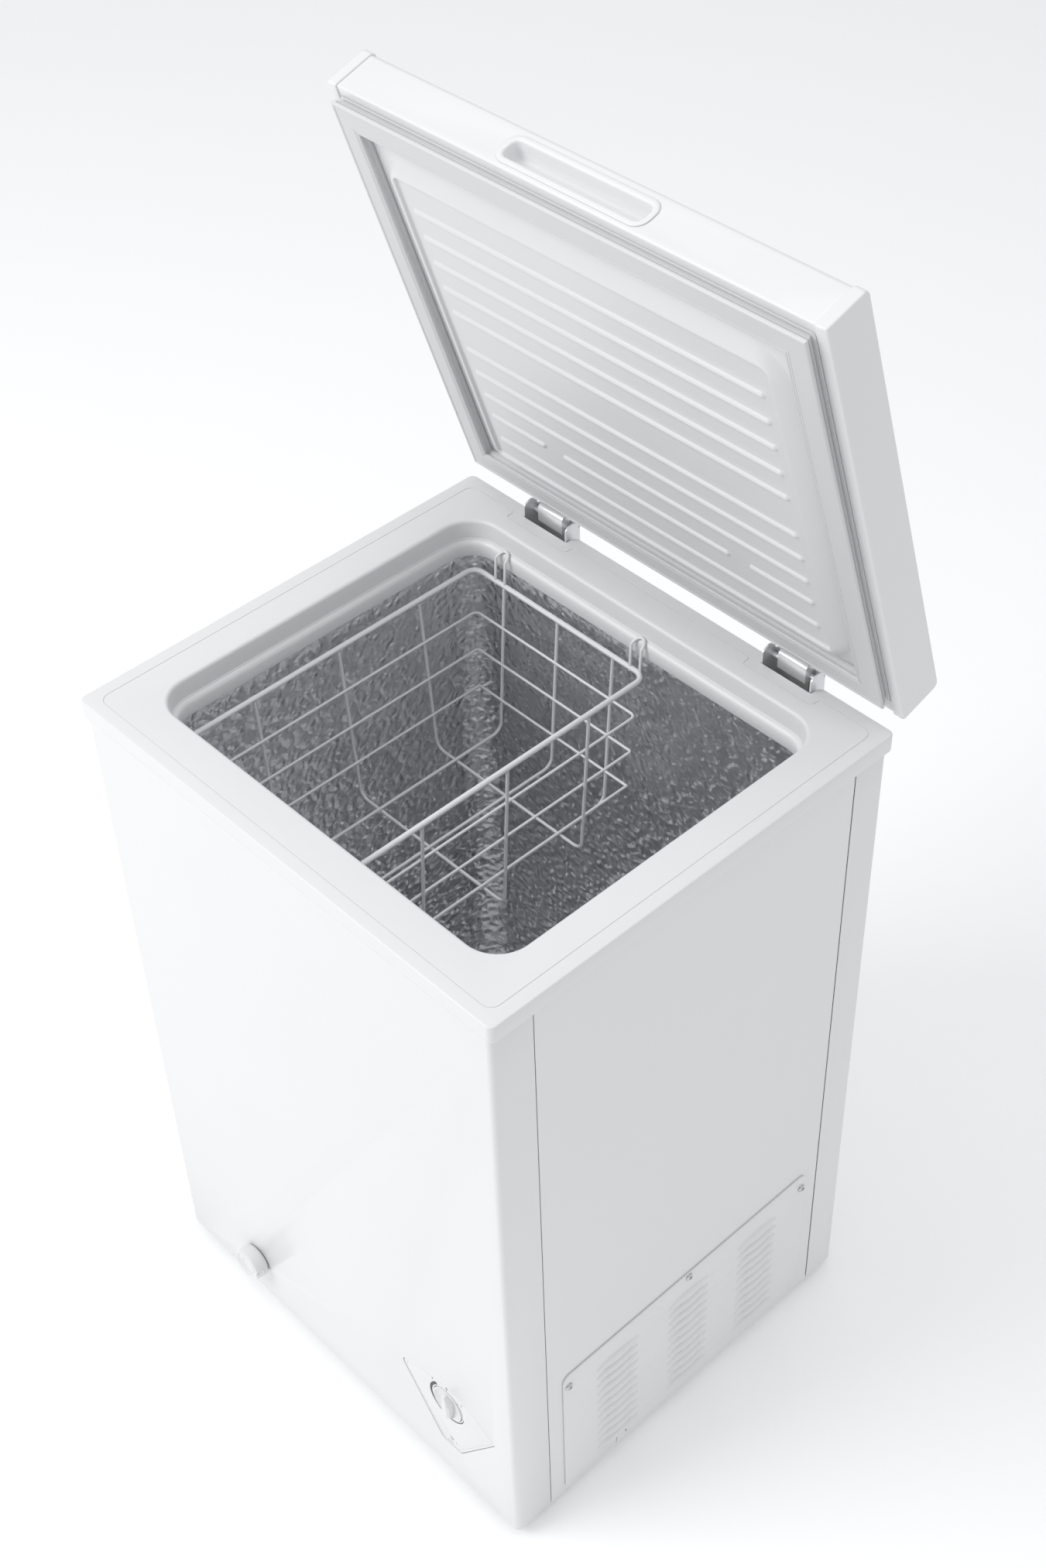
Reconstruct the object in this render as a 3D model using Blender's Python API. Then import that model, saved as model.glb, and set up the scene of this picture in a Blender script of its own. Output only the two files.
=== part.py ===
"""Small chest freezer with a hinged lid, modelled as its separate pieces.

Metres, +Z up, front towards -Y.  Everything is laid out from the middle of the cabinet, standing on
its feet at z = 0.  The lid is drawn closed and then turned open about its hinge pins.
"""
import math

import bmesh
import bpy
from mathutils import Matrix, Vector

# ---------------------------------------------------------------- driving dimensions
GAP = 0.0003                    # air left between pieces that touch
SHEET = 0.001                   # painted steel sheet

FOOT_H = 0.012
RIM_TOP = 0.792                 # top face of the collar
HALF_W = 0.2675                 # cabinet walls
HALF_D = 0.2366
WALL_R = 0.006                  # upright corners
FRONT_SEAM = -0.1908            # where the wrapped front sheet ends on each side
BACK_SEAM = 0.1960
SEAM = 0.0012

COLLAR_HALF_W = 0.27225
COLLAR_HALF_D = 0.23955
LIP_H = 0.0192
OPENING = (-0.226, 0.226, -0.1905, 0.196)
OPENING_R = 0.034
LINER_TOP = RIM_TOP - 0.0383
LINER_FLOOR = 0.088
STEP_X = 0.045                  # the tub steps up over the machine compartment
STEP_Z = 0.290

BAY_X = 0.094                   # machine compartment: from here to the right side
BAY_TOP = 0.236

LID_HALF_W = 0.2729
LID_FRONT = -0.24155
LID_BACK = 0.23665
LID_TOP = RIM_TOP + 0.0569
LID_SKIRT = 0.0447
LID_CAP_W = 0.012
LID_OPEN = math.radians(72.3)
HINGE_Y = 0.24161
HINGE_Z = RIM_TOP + 0.00285
HINGE_X = 0.1555                # middle of each hinge, left and right of the centre
HOUSING_HALF_W = 0.0295
LEAF_HALF_W = 0.0165
PIN_R = 0.0025

DIAL = (0.1705, 0.137)          # x and z of the thermostat dial
DRAIN = (-0.1405, 0.0665)       # x and z of the drain outlet
DRAIN_FLOOR_Y = -0.150
DRAIN_BEND = 0.0095

COMPRESSOR = (0.182, 0.0)
BASKET = (-0.214, 0.0265, -0.1805, 0.186)
BASKET_RIM = RIM_TOP - 0.050
BASKET_DEPTH = 0.190

COLLECTION = bpy.context.scene.collection


# ---------------------------------------------------------------- tools
def clear_scene():
    for obj in list(bpy.data.objects):
        bpy.data.objects.remove(obj, do_unlink=True)


def material(name, color, roughness=0.4, metallic=0.0):
    mat = bpy.data.materials.new(name)
    mat.use_nodes = True
    shader = mat.node_tree.nodes["Principled BSDF"]
    shader.inputs["Base Color"].default_value = (*color, 1.0)
    shader.inputs["Roughness"].default_value = roughness
    shader.inputs["Metallic"].default_value = metallic
    return mat


def empty(name, location, parent=None):
    obj = bpy.data.objects.new(name, None)
    obj.location = location
    obj.parent = parent
    COLLECTION.objects.link(obj)
    return obj


def piece(name, bm, mat, parent, pivot=(0, 0, 0), smooth=False):
    """Make an object of bm, whose points are cabinet positions, with its origin at pivot."""
    bmesh.ops.recalc_face_normals(bm, faces=bm.faces)
    bmesh.ops.translate(bm, verts=bm.verts, vec=-Vector(pivot))
    mesh = bpy.data.meshes.new(name)
    bm.to_mesh(mesh)
    bm.free()
    mesh.materials.append(mat)
    if smooth:
        mesh.shade_smooth()
        mesh.set_sharp_from_angle(angle=math.radians(35))
    obj = bpy.data.objects.new(name, mesh)
    obj.parent = parent
    if parent is not lid_axis:
        obj.location = pivot
    COLLECTION.objects.link(obj)
    return obj


def tool(name, bm, target_parent, pivot=(0, 0, 0)):
    """A hidden cutter that shares its target's origin."""
    obj = piece(name, bm, CUTTER, target_parent, pivot)
    obj.hide_render = True
    obj.display_type = "WIRE"
    return obj


def combine(target, other, operation="DIFFERENCE"):
    mod = target.modifiers.new(operation.title(), "BOOLEAN")
    mod.operation = operation
    mod.solver = "EXACT"
    mod.object = other


def cut(target, bm, label="cut"):
    """Cut bm out of target, whichever empty target hangs on."""
    pivot = HINGE if target.parent is lid_axis else tuple(target.location)
    combine(target, tool(f"{target.name}_{label}", bm, target.parent, pivot))


def rounded(x0, x1, y0, y1, r, steps=5):
    """Points of a rectangle with round corners, anticlockwise."""
    corners = ((x1 - r, y1 - r, 0), (x0 + r, y1 - r, 90), (x0 + r, y0 + r, 180), (x1 - r, y0 + r, 270))
    points = []
    for cx, cy, start in corners:
        for i in range(steps + 1):
            a = math.radians(start + 90 * i / steps)
            points.append((cx + r * math.cos(a), cy + r * math.sin(a)))
    return points


def circle(cx, cy, r, steps):
    turn = 2 * math.pi / steps
    return [(cx + r * math.cos(i * turn), cy + r * math.sin(i * turn)) for i in range(steps)]


def fillet(points, r, steps=4):
    """Round the corners of an open polyline in space."""
    points = [Vector(p) for p in points]
    out = [points[0]]
    for before, here, after in zip(points, points[1:], points[2:]):
        a, b = (before - here).normalized(), (after - here).normalized()
        half = a.angle(b) / 2
        reach = min(r / math.tan(half), (before - here).length * 0.49, (after - here).length * 0.49)
        middle = here + (a + b).normalized() * (reach / math.cos(half))
        spoke, turn = here + a * reach - middle, math.pi - 2 * half
        for k in range(steps + 1):
            out.append(middle + Matrix.Rotation(-turn * k / steps, 3, a.cross(b)) @ spoke)
    return out + [points[-1]]


def on_axis(axis, u, v, w):
    """Place outline point (u, v) at distance w along an axis: z uses (x, y), y (x, z), x (y, z)."""
    return {"z": (u, v, w), "y": (u, w, v), "x": (w, u, v)}[axis]


def loft(bm, rings, loop=False):
    """Skin rings of equal length; with loop the last joins the first, else both ends are capped."""
    rows = [[bm.verts.new(p) for p in ring] for ring in rings]
    pairs = list(zip(rows, rows[1:]))
    if loop:
        pairs.append((rows[-1], rows[0]))
    for a, b in pairs:
        for i in range(len(a)):
            j = (i + 1) % len(a)
            bm.faces.new((a[i], a[j], b[j], b[i]))
    if not loop:
        bm.faces.new(rows[0])
        bm.faces.new(rows[-1])
    return bm


def prism(outline, w0, w1, axis="z", bm=None):
    bm = bm or bmesh.new()
    return loft(bm, [[on_axis(axis, u, v, w) for u, v in outline] for w in (w0, w1)])


def box(x0, x1, y0, y1, z0, z1, bm=None):
    return prism([(x0, y0), (x1, y0), (x1, y1), (x0, y1)], z0, z1, "z", bm)


def rod(cu, cv, r, w0, w1, axis="z", steps=24, bm=None):
    return prism(circle(cu, cv, r, steps), w0, w1, axis, bm)


def turned(profile, cu, cv, axis="z", steps=32, bm=None, loop=False):
    """Turn (radius, along) points about an axis through (cu, cv)."""
    bm = bm or bmesh.new()
    rings = [[on_axis(axis, u, v, w) for u, v in circle(cu, cv, r, steps)] for r, w in profile]
    return loft(bm, rings, loop)


def swept(path, r_out, r_in=0.0, sides=10, bm=None):
    """A round bar or hollow tube along a path."""
    bm = bm or bmesh.new()
    path = [Vector(p) for p in path]
    tangents = []
    for i in range(len(path)):
        tangents.append((path[min(i + 1, len(path) - 1)] - path[max(i - 1, 0)]).normalized())
    side = tangents[0].orthogonal().normalized()
    frames = []
    for here, along in zip(path, tangents):
        side = (side - along * side.dot(along)).normalized()
        frames.append((here, side, along.cross(side)))

    def rings(radius):
        made = []
        for here, a, b in frames:
            made.append([here + a * u + b * v for u, v in circle(0, 0, radius, sides)])
        return made

    if r_in:
        return loft(bm, rings(r_out) + rings(r_in)[::-1], loop=True)
    return loft(bm, rings(r_out))


def pipe(name, path, r, mat, parent, resolution=2):
    """Bent metal or plastic tube as a curve with a round bevel."""
    curve = bpy.data.curves.new(name, "CURVE")
    curve.dimensions = "3D"
    curve.bevel_depth = r
    curve.bevel_resolution = resolution
    curve.use_fill_caps = True
    spline = curve.splines.new("POLY")
    spline.points.add(len(path) - 1)
    for point, at in zip(spline.points, path):
        point.co = (*at, 1.0)
    curve.materials.append(mat)
    obj = bpy.data.objects.new(name, curve)
    obj.parent = parent
    COLLECTION.objects.link(obj)
    return obj


def strip(outline, thickness):
    """Closed outline of a folded sheet that follows an open 2-D line, thickness on its left."""
    line = [Vector(p) for p in outline]
    offset = []
    for i, here in enumerate(line):
        normals = []
        for a, b in ((i - 1, i), (i, i + 1)):
            if 0 <= a and b < len(line):
                d = (line[b] - line[a]).normalized()
                normals.append(Vector((-d.y, d.x)))
        n = sum(normals, Vector((0, 0))).normalized()
        offset.append(here + n * (thickness / max(n.dot(normals[0]), 0.5)))
    return [tuple(p) for p in line + offset[::-1]]


def arc(cx, cy, r, start, end, steps=4):
    points = []
    for i in range(steps + 1):
        a = math.radians(start + (end - start) * i / steps)
        points.append((cx + r * math.cos(a), cy + r * math.sin(a)))
    return points


def inset(rect, d):
    x0, x1, y0, y1 = rect
    return (x0 + d, x1 - d, y0 + d, y1 - d)


def ring_at(rect, d, r, z, steps=5):
    return [(x, y, z) for x, y in rounded(*inset(rect, d), max(r - d, 0.001), steps)]


# ---------------------------------------------------------------- finishes and the two frames
clear_scene()
CUTTER = material("cutter", (1, 0, 0))
PAINT = material("white_paint", (0.83, 0.83, 0.82), 0.28)
PLASTIC = material("white_plastic", (0.83, 0.83, 0.82), 0.35)
LINER = material("embossed_aluminium", (0.62, 0.63, 0.64), 0.3, 1.0)
FOAM = material("foam", (0.86, 0.80, 0.62), 0.9)
STEEL = material("zinc_steel", (0.62, 0.62, 0.62), 0.35, 1.0)
CHROME = material("chrome", (0.85, 0.85, 0.86), 0.1, 1.0)
BLACK = material("black_paint", (0.02, 0.02, 0.02), 0.4)
COPPER = material("copper", (0.72, 0.38, 0.22), 0.3, 1.0)
RUBBER = material("rubber", (0.04, 0.04, 0.04), 0.8)
GASKET = material("gasket_vinyl", (0.78, 0.78, 0.77), 0.5)
WIRE = material("coated_wire", (0.83, 0.83, 0.82), 0.3)
LENS = material("clear_lens", (0.70, 0.72, 0.71), 0.12)

HINGE = (0.0, HINGE_Y, HINGE_Z)
lid_axis = None
cabinet = empty("cabinet_frame", (0, 0, 0))
lid_axis = empty("lid_axis", HINGE, cabinet)
lid_axis.rotation_euler = (-LID_OPEN, 0, 0)


# ---------------------------------------------------------------- cabinet shell
SIDE_SET_IN = 0.0005            # the side sheets sit just inside the wrapped ones
CLEAR_W = HALF_W - SIDE_SET_IN - SHEET - GAP
CLEAR_D = HALF_D - SHEET - GAP
SHELL_TOP = RIM_TOP - LIP_H - GAP


def wrapped_sheet(seam):
    """Sheet that turns both corners and covers the side its seams' y is on."""
    a, b, side = HALF_W - WALL_R, HALF_D - WALL_R, math.copysign(1, -seam)
    line = [(-HALF_W, -abs(seam))] + arc(-a, -b, WALL_R, 180, 270)
    line += arc(a, -b, WALL_R, 270, 360) + [(HALF_W, -abs(seam))]
    return prism([(x * side, y * side) for x, y in strip(line, SHEET)], FOOT_H, SHELL_TOP)


def hinge_notch(x):
    return box(x - HOUSING_HALF_W - 0.0008, x + HOUSING_HALF_W + 0.0008, 0.2264, 0.26,
               RIM_TOP - 0.0256, RIM_TOP + 0.01)


def shield(grow=0.0):
    """Outline of the control panel: arched top, round shoulders, straight sides down to a narrow foot."""
    half, foot, shoulder, rise = 0.0705 + 1.8 * grow, 0.0615 - grow, 0.1462 + grow, 0.0208

    def arch(s):
        return (half * s, shoulder + rise * (1 - s * s))

    edge = fillet([(0, foot, 0), (0.0135 + grow, foot, 0), (half, shoulder, 0), (*arch(0.6), 0)], 0.008)
    right = [(p.x, p.y) for p in edge[1:]] + [arch(0.35), arch(0.12)]
    outline = right + [(-x, z) for x, z in reversed(right)]
    return [(DIAL[0] + 0.0015 + x, z) for x, z in outline]


front = piece("front_panel", wrapped_sheet(FRONT_SEAM), PAINT, cabinet)
cut(front, prism(shield(GAP), -HALF_D - 0.01, -HALF_D + 0.01, "y"), "panel_hole")
cut(front, rod(*DRAIN, 0.0098, -HALF_D - 0.01, -HALF_D + 0.01, "y"), "drain_hole")

back = piece("back_panel", wrapped_sheet(BACK_SEAM), PAINT, cabinet)
for hinge_x in (-HINGE_X, HINGE_X):
    cut(back, hinge_notch(hinge_x), "notch")
GLAND = (0.215, 0.060)
cut(back, rod(*GLAND, 0.0073, HALF_D - 0.01, HALF_D + 0.01, "y"), "gland_hole")

for name, sign in (("side_panel_left", -1), ("side_panel_right", 1)):
    x0, x1 = sorted((sign * (HALF_W - SIDE_SET_IN), sign * (HALF_W - SIDE_SET_IN - SHEET)))
    side_panel = piece(name, box(x0, x1, FRONT_SEAM + SEAM, BACK_SEAM - SEAM, FOOT_H, SHELL_TOP),
                       PAINT, cabinet)
cut(side_panel, box(0.25, 0.28, -0.150, 0.157, 0.040, 0.200), "vent_hole")

plate = rounded(-CLEAR_W, CLEAR_W, -CLEAR_D, CLEAR_D, WALL_R - SHEET)
piece("base_plate", prism(plate, FOOT_H, FOOT_H + 0.0015), STEEL, cabinet)
BASE_TOP = FOOT_H + 0.0015 + GAP

for name, x, y in (("foot_front_left", -1, -1), ("foot_front_right", 1, -1),
                   ("foot_back_left", -1, 1), ("foot_back_right", 1, 1)):
    foot = turned([(0.0165, 0.0), (0.0185, 0.002), (0.0170, FOOT_H - GAP)], x * 0.230, y * 0.198)
    piece(name, foot, RUBBER, cabinet, smooth=True)


# ---------------------------------------------------------------- tub: liner, foam and collar
def tub_block(name, grow, floor, step_x, step_z, top):
    """Solid the shape of the stepped tub, grown sideways from the collar's opening."""
    outline = rounded(*inset(OPENING, -grow), OPENING_R + grow)
    block = tool(name, prism(outline, floor, top), cabinet)
    combine(block, tool(f"{name}_step", box(step_x, 0.3, -0.3, 0.3, floor - 0.05, step_z), cabinet))
    return block


liner_outline = rounded(*inset(OPENING, 0.003), OPENING_R - 0.003)
liner = piece("inner_liner", prism(liner_outline, LINER_FLOOR - SHEET, LINER_TOP), LINER, cabinet)
cut(liner, box(STEP_X + SHEET, 0.3, -0.3, 0.3, 0.0, STEP_Z - SHEET), "step")
combine(liner, tub_block("liner_hollow", -0.004, LINER_FLOOR, STEP_X, STEP_Z, LINER_TOP + 0.05))
cut(liner, rod(DRAIN[0], DRAIN_FLOOR_Y, 0.0095, 0.05, 0.12), "drain_hole")

foam_sides = (-CLEAR_W, 0.2595, -CLEAR_D, CLEAR_D)
foam_rings = [ring_at(foam_sides, into, 0.009, z) for into, z in (
    (0, BASE_TOP), (0, SHELL_TOP - 0.0010), (0.0040, SHELL_TOP - 0.0002), (0.0040, RIM_TOP - 0.0029))]
foam = piece("tub_insulation", loft(bmesh.new(), foam_rings), FOAM, cabinet)
cut(foam, box(BAY_X - GAP, 0.3, -0.3, 0.3, 0.0, BAY_TOP + GAP), "bay")
combine(foam, tub_block("foam_hollow", 0.0054, LINER_FLOOR - SHEET - GAP, STEP_X + SHEET + GAP,
                        STEP_Z - SHEET - GAP, RIM_TOP + 0.05))
for hinge_x in (-HINGE_X, HINGE_X):
    cut(foam, hinge_notch(hinge_x), "notch")
drain_path = fillet([(DRAIN[0], DRAIN_FLOOR_Y, 0.120), (DRAIN[0], DRAIN_FLOOR_Y, DRAIN[1]),
                     (DRAIN[0], -0.300, DRAIN[1])], DRAIN_BEND)
cut(foam, swept(drain_path, 0.0093, sides=16), "drain")

outer = (-COLLAR_HALF_W, COLLAR_HALF_W, -COLLAR_HALF_D, COLLAR_HALF_D)
collar_rings = []
for base, radius, into, down in (
        (outer, 0.007, 0.0075, 0.0192), (outer, 0.007, 0.0020, 0.0192), (outer, 0.007, 0.0, 0.0165),
        (outer, 0.007, 0.0, 0.0012), (outer, 0.007, 0.0012, 0.0),
        (OPENING, OPENING_R, -0.0030, 0.0), (OPENING, OPENING_R, -0.0008, 0.0010),
        (OPENING, OPENING_R, 0.0, 0.0034), (OPENING, OPENING_R, 0.0010, 0.0205),
        (OPENING, OPENING_R, 0.0016, 0.0220), (OPENING, OPENING_R, 0.0045, 0.0240),
        (OPENING, OPENING_R, 0.0060, 0.0270), (OPENING, OPENING_R, 0.0060, 0.0380),
        (OPENING, OPENING_R, 0.0030, 0.0380), (OPENING, OPENING_R, 0.0030, 0.0268),
        (OPENING, OPENING_R, -0.0016, 0.0225), (OPENING, OPENING_R, -0.0026, 0.0026),
        (outer, 0.007, 0.0050, 0.0026)):
    collar_rings.append(ring_at(base, into, radius, RIM_TOP - down, 6))
collar = piece("collar", loft(bmesh.new(), collar_rings, loop=True), PLASTIC, cabinet)
for hinge_x in (-HINGE_X, HINGE_X):
    cut(collar, hinge_notch(hinge_x), "notch")

# ---------------------------------------------------------------- machine compartment
shield_line = [(BAY_X, BASE_TOP), (BAY_X + SHEET, BASE_TOP), (BAY_X + SHEET, BAY_TOP - SHEET),
               (0.2595, BAY_TOP - SHEET), (0.2595, BAY_TOP), (BAY_X, BAY_TOP)]
bay_sheet = piece("compartment_shield", prism(shield_line, -CLEAR_D, CLEAR_D, "y"), STEEL, cabinet)
LINE_HOLE = (0.2300, 0.155)
SENSOR = (0.1605, -0.185)
for target in (bay_sheet, foam):
    cut(target, rod(*LINE_HOLE, 0.013, BAY_TOP - 0.05, STEP_Z - SHEET), "line_hole")
    cut(target, rod(*SENSOR, 0.0045, BAY_TOP - 0.05, 0.2835), "sensor_hole")
CAPILLARY_XY = (0.2342, 0.160)
cut(foam, rod(*CAPILLARY_XY, 0.0035, BAY_TOP, 0.760), "capillary_groove")

cx, cy = COMPRESSOR
shell = [(0.040, 0.0285), (0.054, 0.036), (0.0605, 0.050), (0.0615, 0.100), (0.0655, 0.1005),
         (0.0655, 0.1035), (0.0615, 0.104), (0.0610, 0.145), (0.052, 0.165), (0.034, 0.177), (0.010, 0.181)]
compressor = piece("compressor", turned(shell, cx, cy, steps=32), BLACK, cabinet, smooth=True)
legs = rounded(cx - 0.052, cx + 0.052, cy - 0.075, cy + 0.075, 0.012)
combine(compressor, tool("compressor_legs", prism(legs, 0.0275, 0.0305), cabinet), "UNION")
grommet = [(0.0088, BASE_TOP), (0.0100, 0.0150), (0.0084, 0.0205), (0.0100, 0.0260), (0.0088, 0.0272)]
for i, (sx, sy) in enumerate(((-1, -1), (1, -1), (-1, 1), (1, 1))):
    rubber = turned(grommet, cx + sx * 0.040, cy + sy * 0.063, steps=16)
    piece(f"compressor_grommet_{i + 1}", rubber, RUBBER, cabinet, smooth=True)

relay = prism(rounded(cx - 0.025, cx + 0.025, 0.045, 0.105, 0.006, 3), cy - 0.092, cy - 0.0665, "y")
piece("relay_box", relay, BLACK, cabinet)

DRIER = (0.250, -0.180)
drier = [(0.0035, 0.0765), (0.0045, 0.0820), (0.009, 0.0900), (0.009, 0.1720), (0.0045, 0.1800),
         (0.0035, 0.1850)]
piece("filter_drier", turned(drier, *DRIER, steps=20), COPPER, cabinet, smooth=True)

TUBE_R = 0.0024
COIL_X = 0.2630                 # plane of the condenser, between the side sheet and the foam
discharge = [(cx, cy + 0.0618, 0.070), (cx, 0.190, 0.070), (COIL_X, 0.190, 0.070), (COIL_X, 0.190, 0.200)]
pipe("discharge_tube", fillet(discharge, 0.014), TUBE_R, COPPER, cabinet)

runs = [(COIL_X, 0.190, 0.200 + GAP)]
for i in range(7):
    ends = (0.190, -0.190) if i % 2 == 0 else (-0.190, 0.190)
    runs += [(COIL_X, y, 0.280 + 0.070 * i) for y in ends]
runs += [(COIL_X, -0.215, 0.700), (COIL_X, -0.215, 0.215), (*DRIER, 0.205), (*DRIER, 0.1850 + GAP)]
pipe("condenser_coil", fillet(runs, 0.012, 3), TUBE_R, COPPER, cabinet)

CORD_R = 0.0012
capillary = [(*DRIER, 0.0765 - GAP), (*DRIER, 0.050), (0.258, -0.120, 0.050), (0.258, 0.120, 0.050),
             (*CAPILLARY_XY, 0.050), (*CAPILLARY_XY, 0.720)]
pipe("capillary_tube", fillet(capillary, 0.010), CORD_R, COPPER, cabinet)

EVAP_R = 0.0032
evap_rect = inset(OPENING, -0.0012)
EVAP_TURNS, EVAP_PITCH, EVAP_TOP, EVAP_END = 6, 0.060, 0.700, 0.320
lap = rounded(*evap_rect, OPENING_R + 0.0012, 4)
coil = []
for turn in range(EVAP_TURNS):
    for i, (x, y) in enumerate(lap):
        coil.append((x, y, EVAP_TOP - EVAP_PITCH * (turn + i / len(lap))))
coil += [(evap_rect[1], 0.150, EVAP_END + 0.020), (evap_rect[1], 0.150, EVAP_END)]
pipe("evaporator_coil", coil, EVAP_R, COPPER, cabinet)

suction = [(cx, cy + 0.0614, 0.130), (cx, 0.110, 0.130), (evap_rect[1], 0.150, 0.130),
           (evap_rect[1], 0.150, EVAP_END - GAP)]
pipe("suction_tube", fillet(suction, 0.014), 0.0033, COPPER, cabinet)

# ---------------------------------------------------------------- controls
PANEL_FACE = -HALF_D + 0.0006
panel_y = (PANEL_FACE, PANEL_FACE + 0.008)
panel = piece("control_panel", prism(shield(), *panel_y, "y"), PLASTIC, cabinet)
cut(panel, rod(*DIAL, 0.0240, PANEL_FACE - 0.01, PANEL_FACE + 0.0055, "y", 40), "dish")
cut(panel, rod(*DIAL, 0.0036, PANEL_FACE - 0.02, PANEL_FACE + 0.02, "y"), "shaft_hole")
LAMP = (DIAL[0] + 0.0015, 0.0740)
cut(panel, rod(*LAMP, 0.0028, PANEL_FACE - 0.02, PANEL_FACE + 0.02, "y", 16), "lamp_hole")
piece("indicator_lens", turned([(0.0015, PANEL_FACE - 0.0012), (0.0025, PANEL_FACE - 0.0004),
                                (0.0025, panel_y[1] + 0.004)], *LAMP, "y", 16), LENS, cabinet, smooth=True)

knob = turned([(0.003, panel_y[1] + 0.002), (0.003, PANEL_FACE + 0.005), (0.0200, PANEL_FACE + 0.005),
               (0.0205, PANEL_FACE - 0.0005), (0.0195, PANEL_FACE - 0.0015), (0.002, PANEL_FACE - 0.0015)],
              *DIAL, "y", 40)
pivot = (DIAL[0], PANEL_FACE, DIAL[1])
knob = piece("thermostat_knob", knob, PLASTIC, cabinet, pivot, smooth=True)
grip = rounded(DIAL[0] - 0.003, DIAL[0] + 0.003, DIAL[1] - 0.018, DIAL[1] + 0.018, 0.0025, 3)
combine(knob, tool("knob_grip", prism(grip, PANEL_FACE - 0.0095, PANEL_FACE + 0.001, "y"), cabinet, pivot),
        "UNION")

tx, tz = DIAL
THERMO_Y = panel_y[1] + GAP
thermostat = box(tx - 0.020, tx + 0.020, THERMO_Y, -0.195, tz - 0.020, tz + 0.020)
thermostat = piece("thermostat_body", thermostat, BLACK, cabinet)
cut(thermostat, rod(*DIAL, 0.0034, THERMO_Y - 0.01, panel_y[1] + 0.004, "y", 16), "shaft_well")
sensor = [(SENSOR[0], -0.195 + GAP, tz), (*SENSOR, tz), (*SENSOR, 0.242)]
probe = piece("thermostat_sensor", swept(fillet(sensor, 0.006), 0.0010, sides=8), COPPER, cabinet)
bulb = turned([(0.0015, 0.240), (0.003, 0.243), (0.003, 0.279), (0.0015, 0.281)], *SENSOR, steps=12)
combine(probe, tool("sensor_bulb", bulb, cabinet), "UNION")

gland = [(0.0115, HALF_D + GAP), (0.0115, HALF_D + 0.003), (0.0085, HALF_D + 0.0045), (0.0036, HALF_D + 0.0045),
         (0.0036, HALF_D - 0.006), (0.0070, HALF_D - 0.006), (0.0070, HALF_D + GAP)]
piece("cable_gland", turned(gland, *GLAND, "y", 24, loop=True), RUBBER, cabinet, smooth=True)
supply = [(GLAND[0], HALF_D - 0.0063, GLAND[1]), (GLAND[0], 0.212, GLAND[1]), (0.106, 0.120, 0.045),
          (0.106, -0.079, 0.045), (0.106, -0.079, 0.070), (cx - 0.025 - GAP, -0.079, 0.070)]
lead = [(tx, -0.2116, tz - 0.020 - GAP), (tx, -0.2116, 0.065), (cx, -0.130, 0.065), (cx, -0.092 - GAP, 0.065)]
pipe("supply_lead", fillet(supply, 0.012), 0.003, BLACK, cabinet)
pipe("thermostat_lead", fillet(lead, 0.012), 0.003, BLACK, cabinet)

# ---------------------------------------------------------------- drain
tube_path = fillet([(DRAIN[0], DRAIN_FLOOR_Y, LINER_FLOOR - SHEET - GAP), (DRAIN[0], DRAIN_FLOOR_Y, DRAIN[1]),
                    (DRAIN[0], -HALF_D + 0.0002, DRAIN[1])], DRAIN_BEND)
piece("drain_tube", swept(tube_path, 0.0090, 0.0066, 16), PLASTIC, cabinet, smooth=True)

cap = [(0.0055, -0.2290), (0.0060, -0.2300), (0.0060, -HALF_D - GAP), (0.0150, -HALF_D - GAP),
       (0.0185, -HALF_D - 0.002), (0.0192, -0.2520), (0.0180, -0.2536), (0.0160, -0.2536), (0.0120, -0.2516),
       (0.002, -0.2508)]
piece("drain_cap", turned(cap, *DRAIN, "y", 36), PLASTIC, cabinet, (DRAIN[0], -HALF_D, DRAIN[1]), smooth=True)

plug_xy = (DRAIN[0], DRAIN_FLOOR_Y)
plug = [(0.0050, LINER_FLOOR - 0.009), (0.0060, LINER_FLOOR - 0.006), (0.0060, LINER_FLOOR + GAP),
        (0.0140, LINER_FLOOR + GAP), (0.0140, LINER_FLOOR + 0.0025), (0.0125, LINER_FLOOR + 0.0035),
        (0.0045, LINER_FLOOR + 0.0040), (0.0040, LINER_FLOOR + 0.0100), (0.002, LINER_FLOOR + 0.0110)]
piece("drain_plug", turned(plug, *plug_xy, steps=24), RUBBER, cabinet, (*plug_xy, LINER_FLOOR), smooth=True)

# ---------------------------------------------------------------- vent cover
COVER_X = HALF_W + GAP
COVER_T = 0.001
cover_line = rounded(-0.1707, 0.1770, 0.0225, 0.2190, 0.010, 4)
cover = piece("vent_cover", prism(cover_line, COVER_X, COVER_X + COVER_T, "x"), PAINT, cabinet)
slots = bmesh.new()
for y_mid in (-0.0972, 0.0037, 0.1045):
    for row in range(11):
        z = 0.0418 + 0.01435 * row
        box(0.26, 0.28, y_mid - 0.028, y_mid + 0.028, z - 0.0022, z + 0.0022, slots)
cut(cover, slots, "slots")
cut(cover, rod(-0.0910, 0.0270, 0.0060, 0.26, 0.28, "x", 16), "knock_out")
SCREW_AT = ((-0.1636, 0.2006), (0.0030, 0.2128), (0.1707, 0.1995))
head_x = COVER_X + COVER_T + GAP
for i, (y, z) in enumerate(SCREW_AT):
    for target in (cover, side_panel):
        cut(target, rod(y, z, 0.0022, 0.25, 0.28, "x", 12), "screw_hole")
    screw = [(0.0016, HALF_W - 0.008), (0.0018, head_x), (0.0042, head_x), (0.0040, head_x + 0.0011),
             (0.0022, head_x + 0.0023)]
    piece(f"vent_screw_{i + 1}", turned(screw, y, z, "x", 16), STEEL, cabinet, smooth=True)


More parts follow.
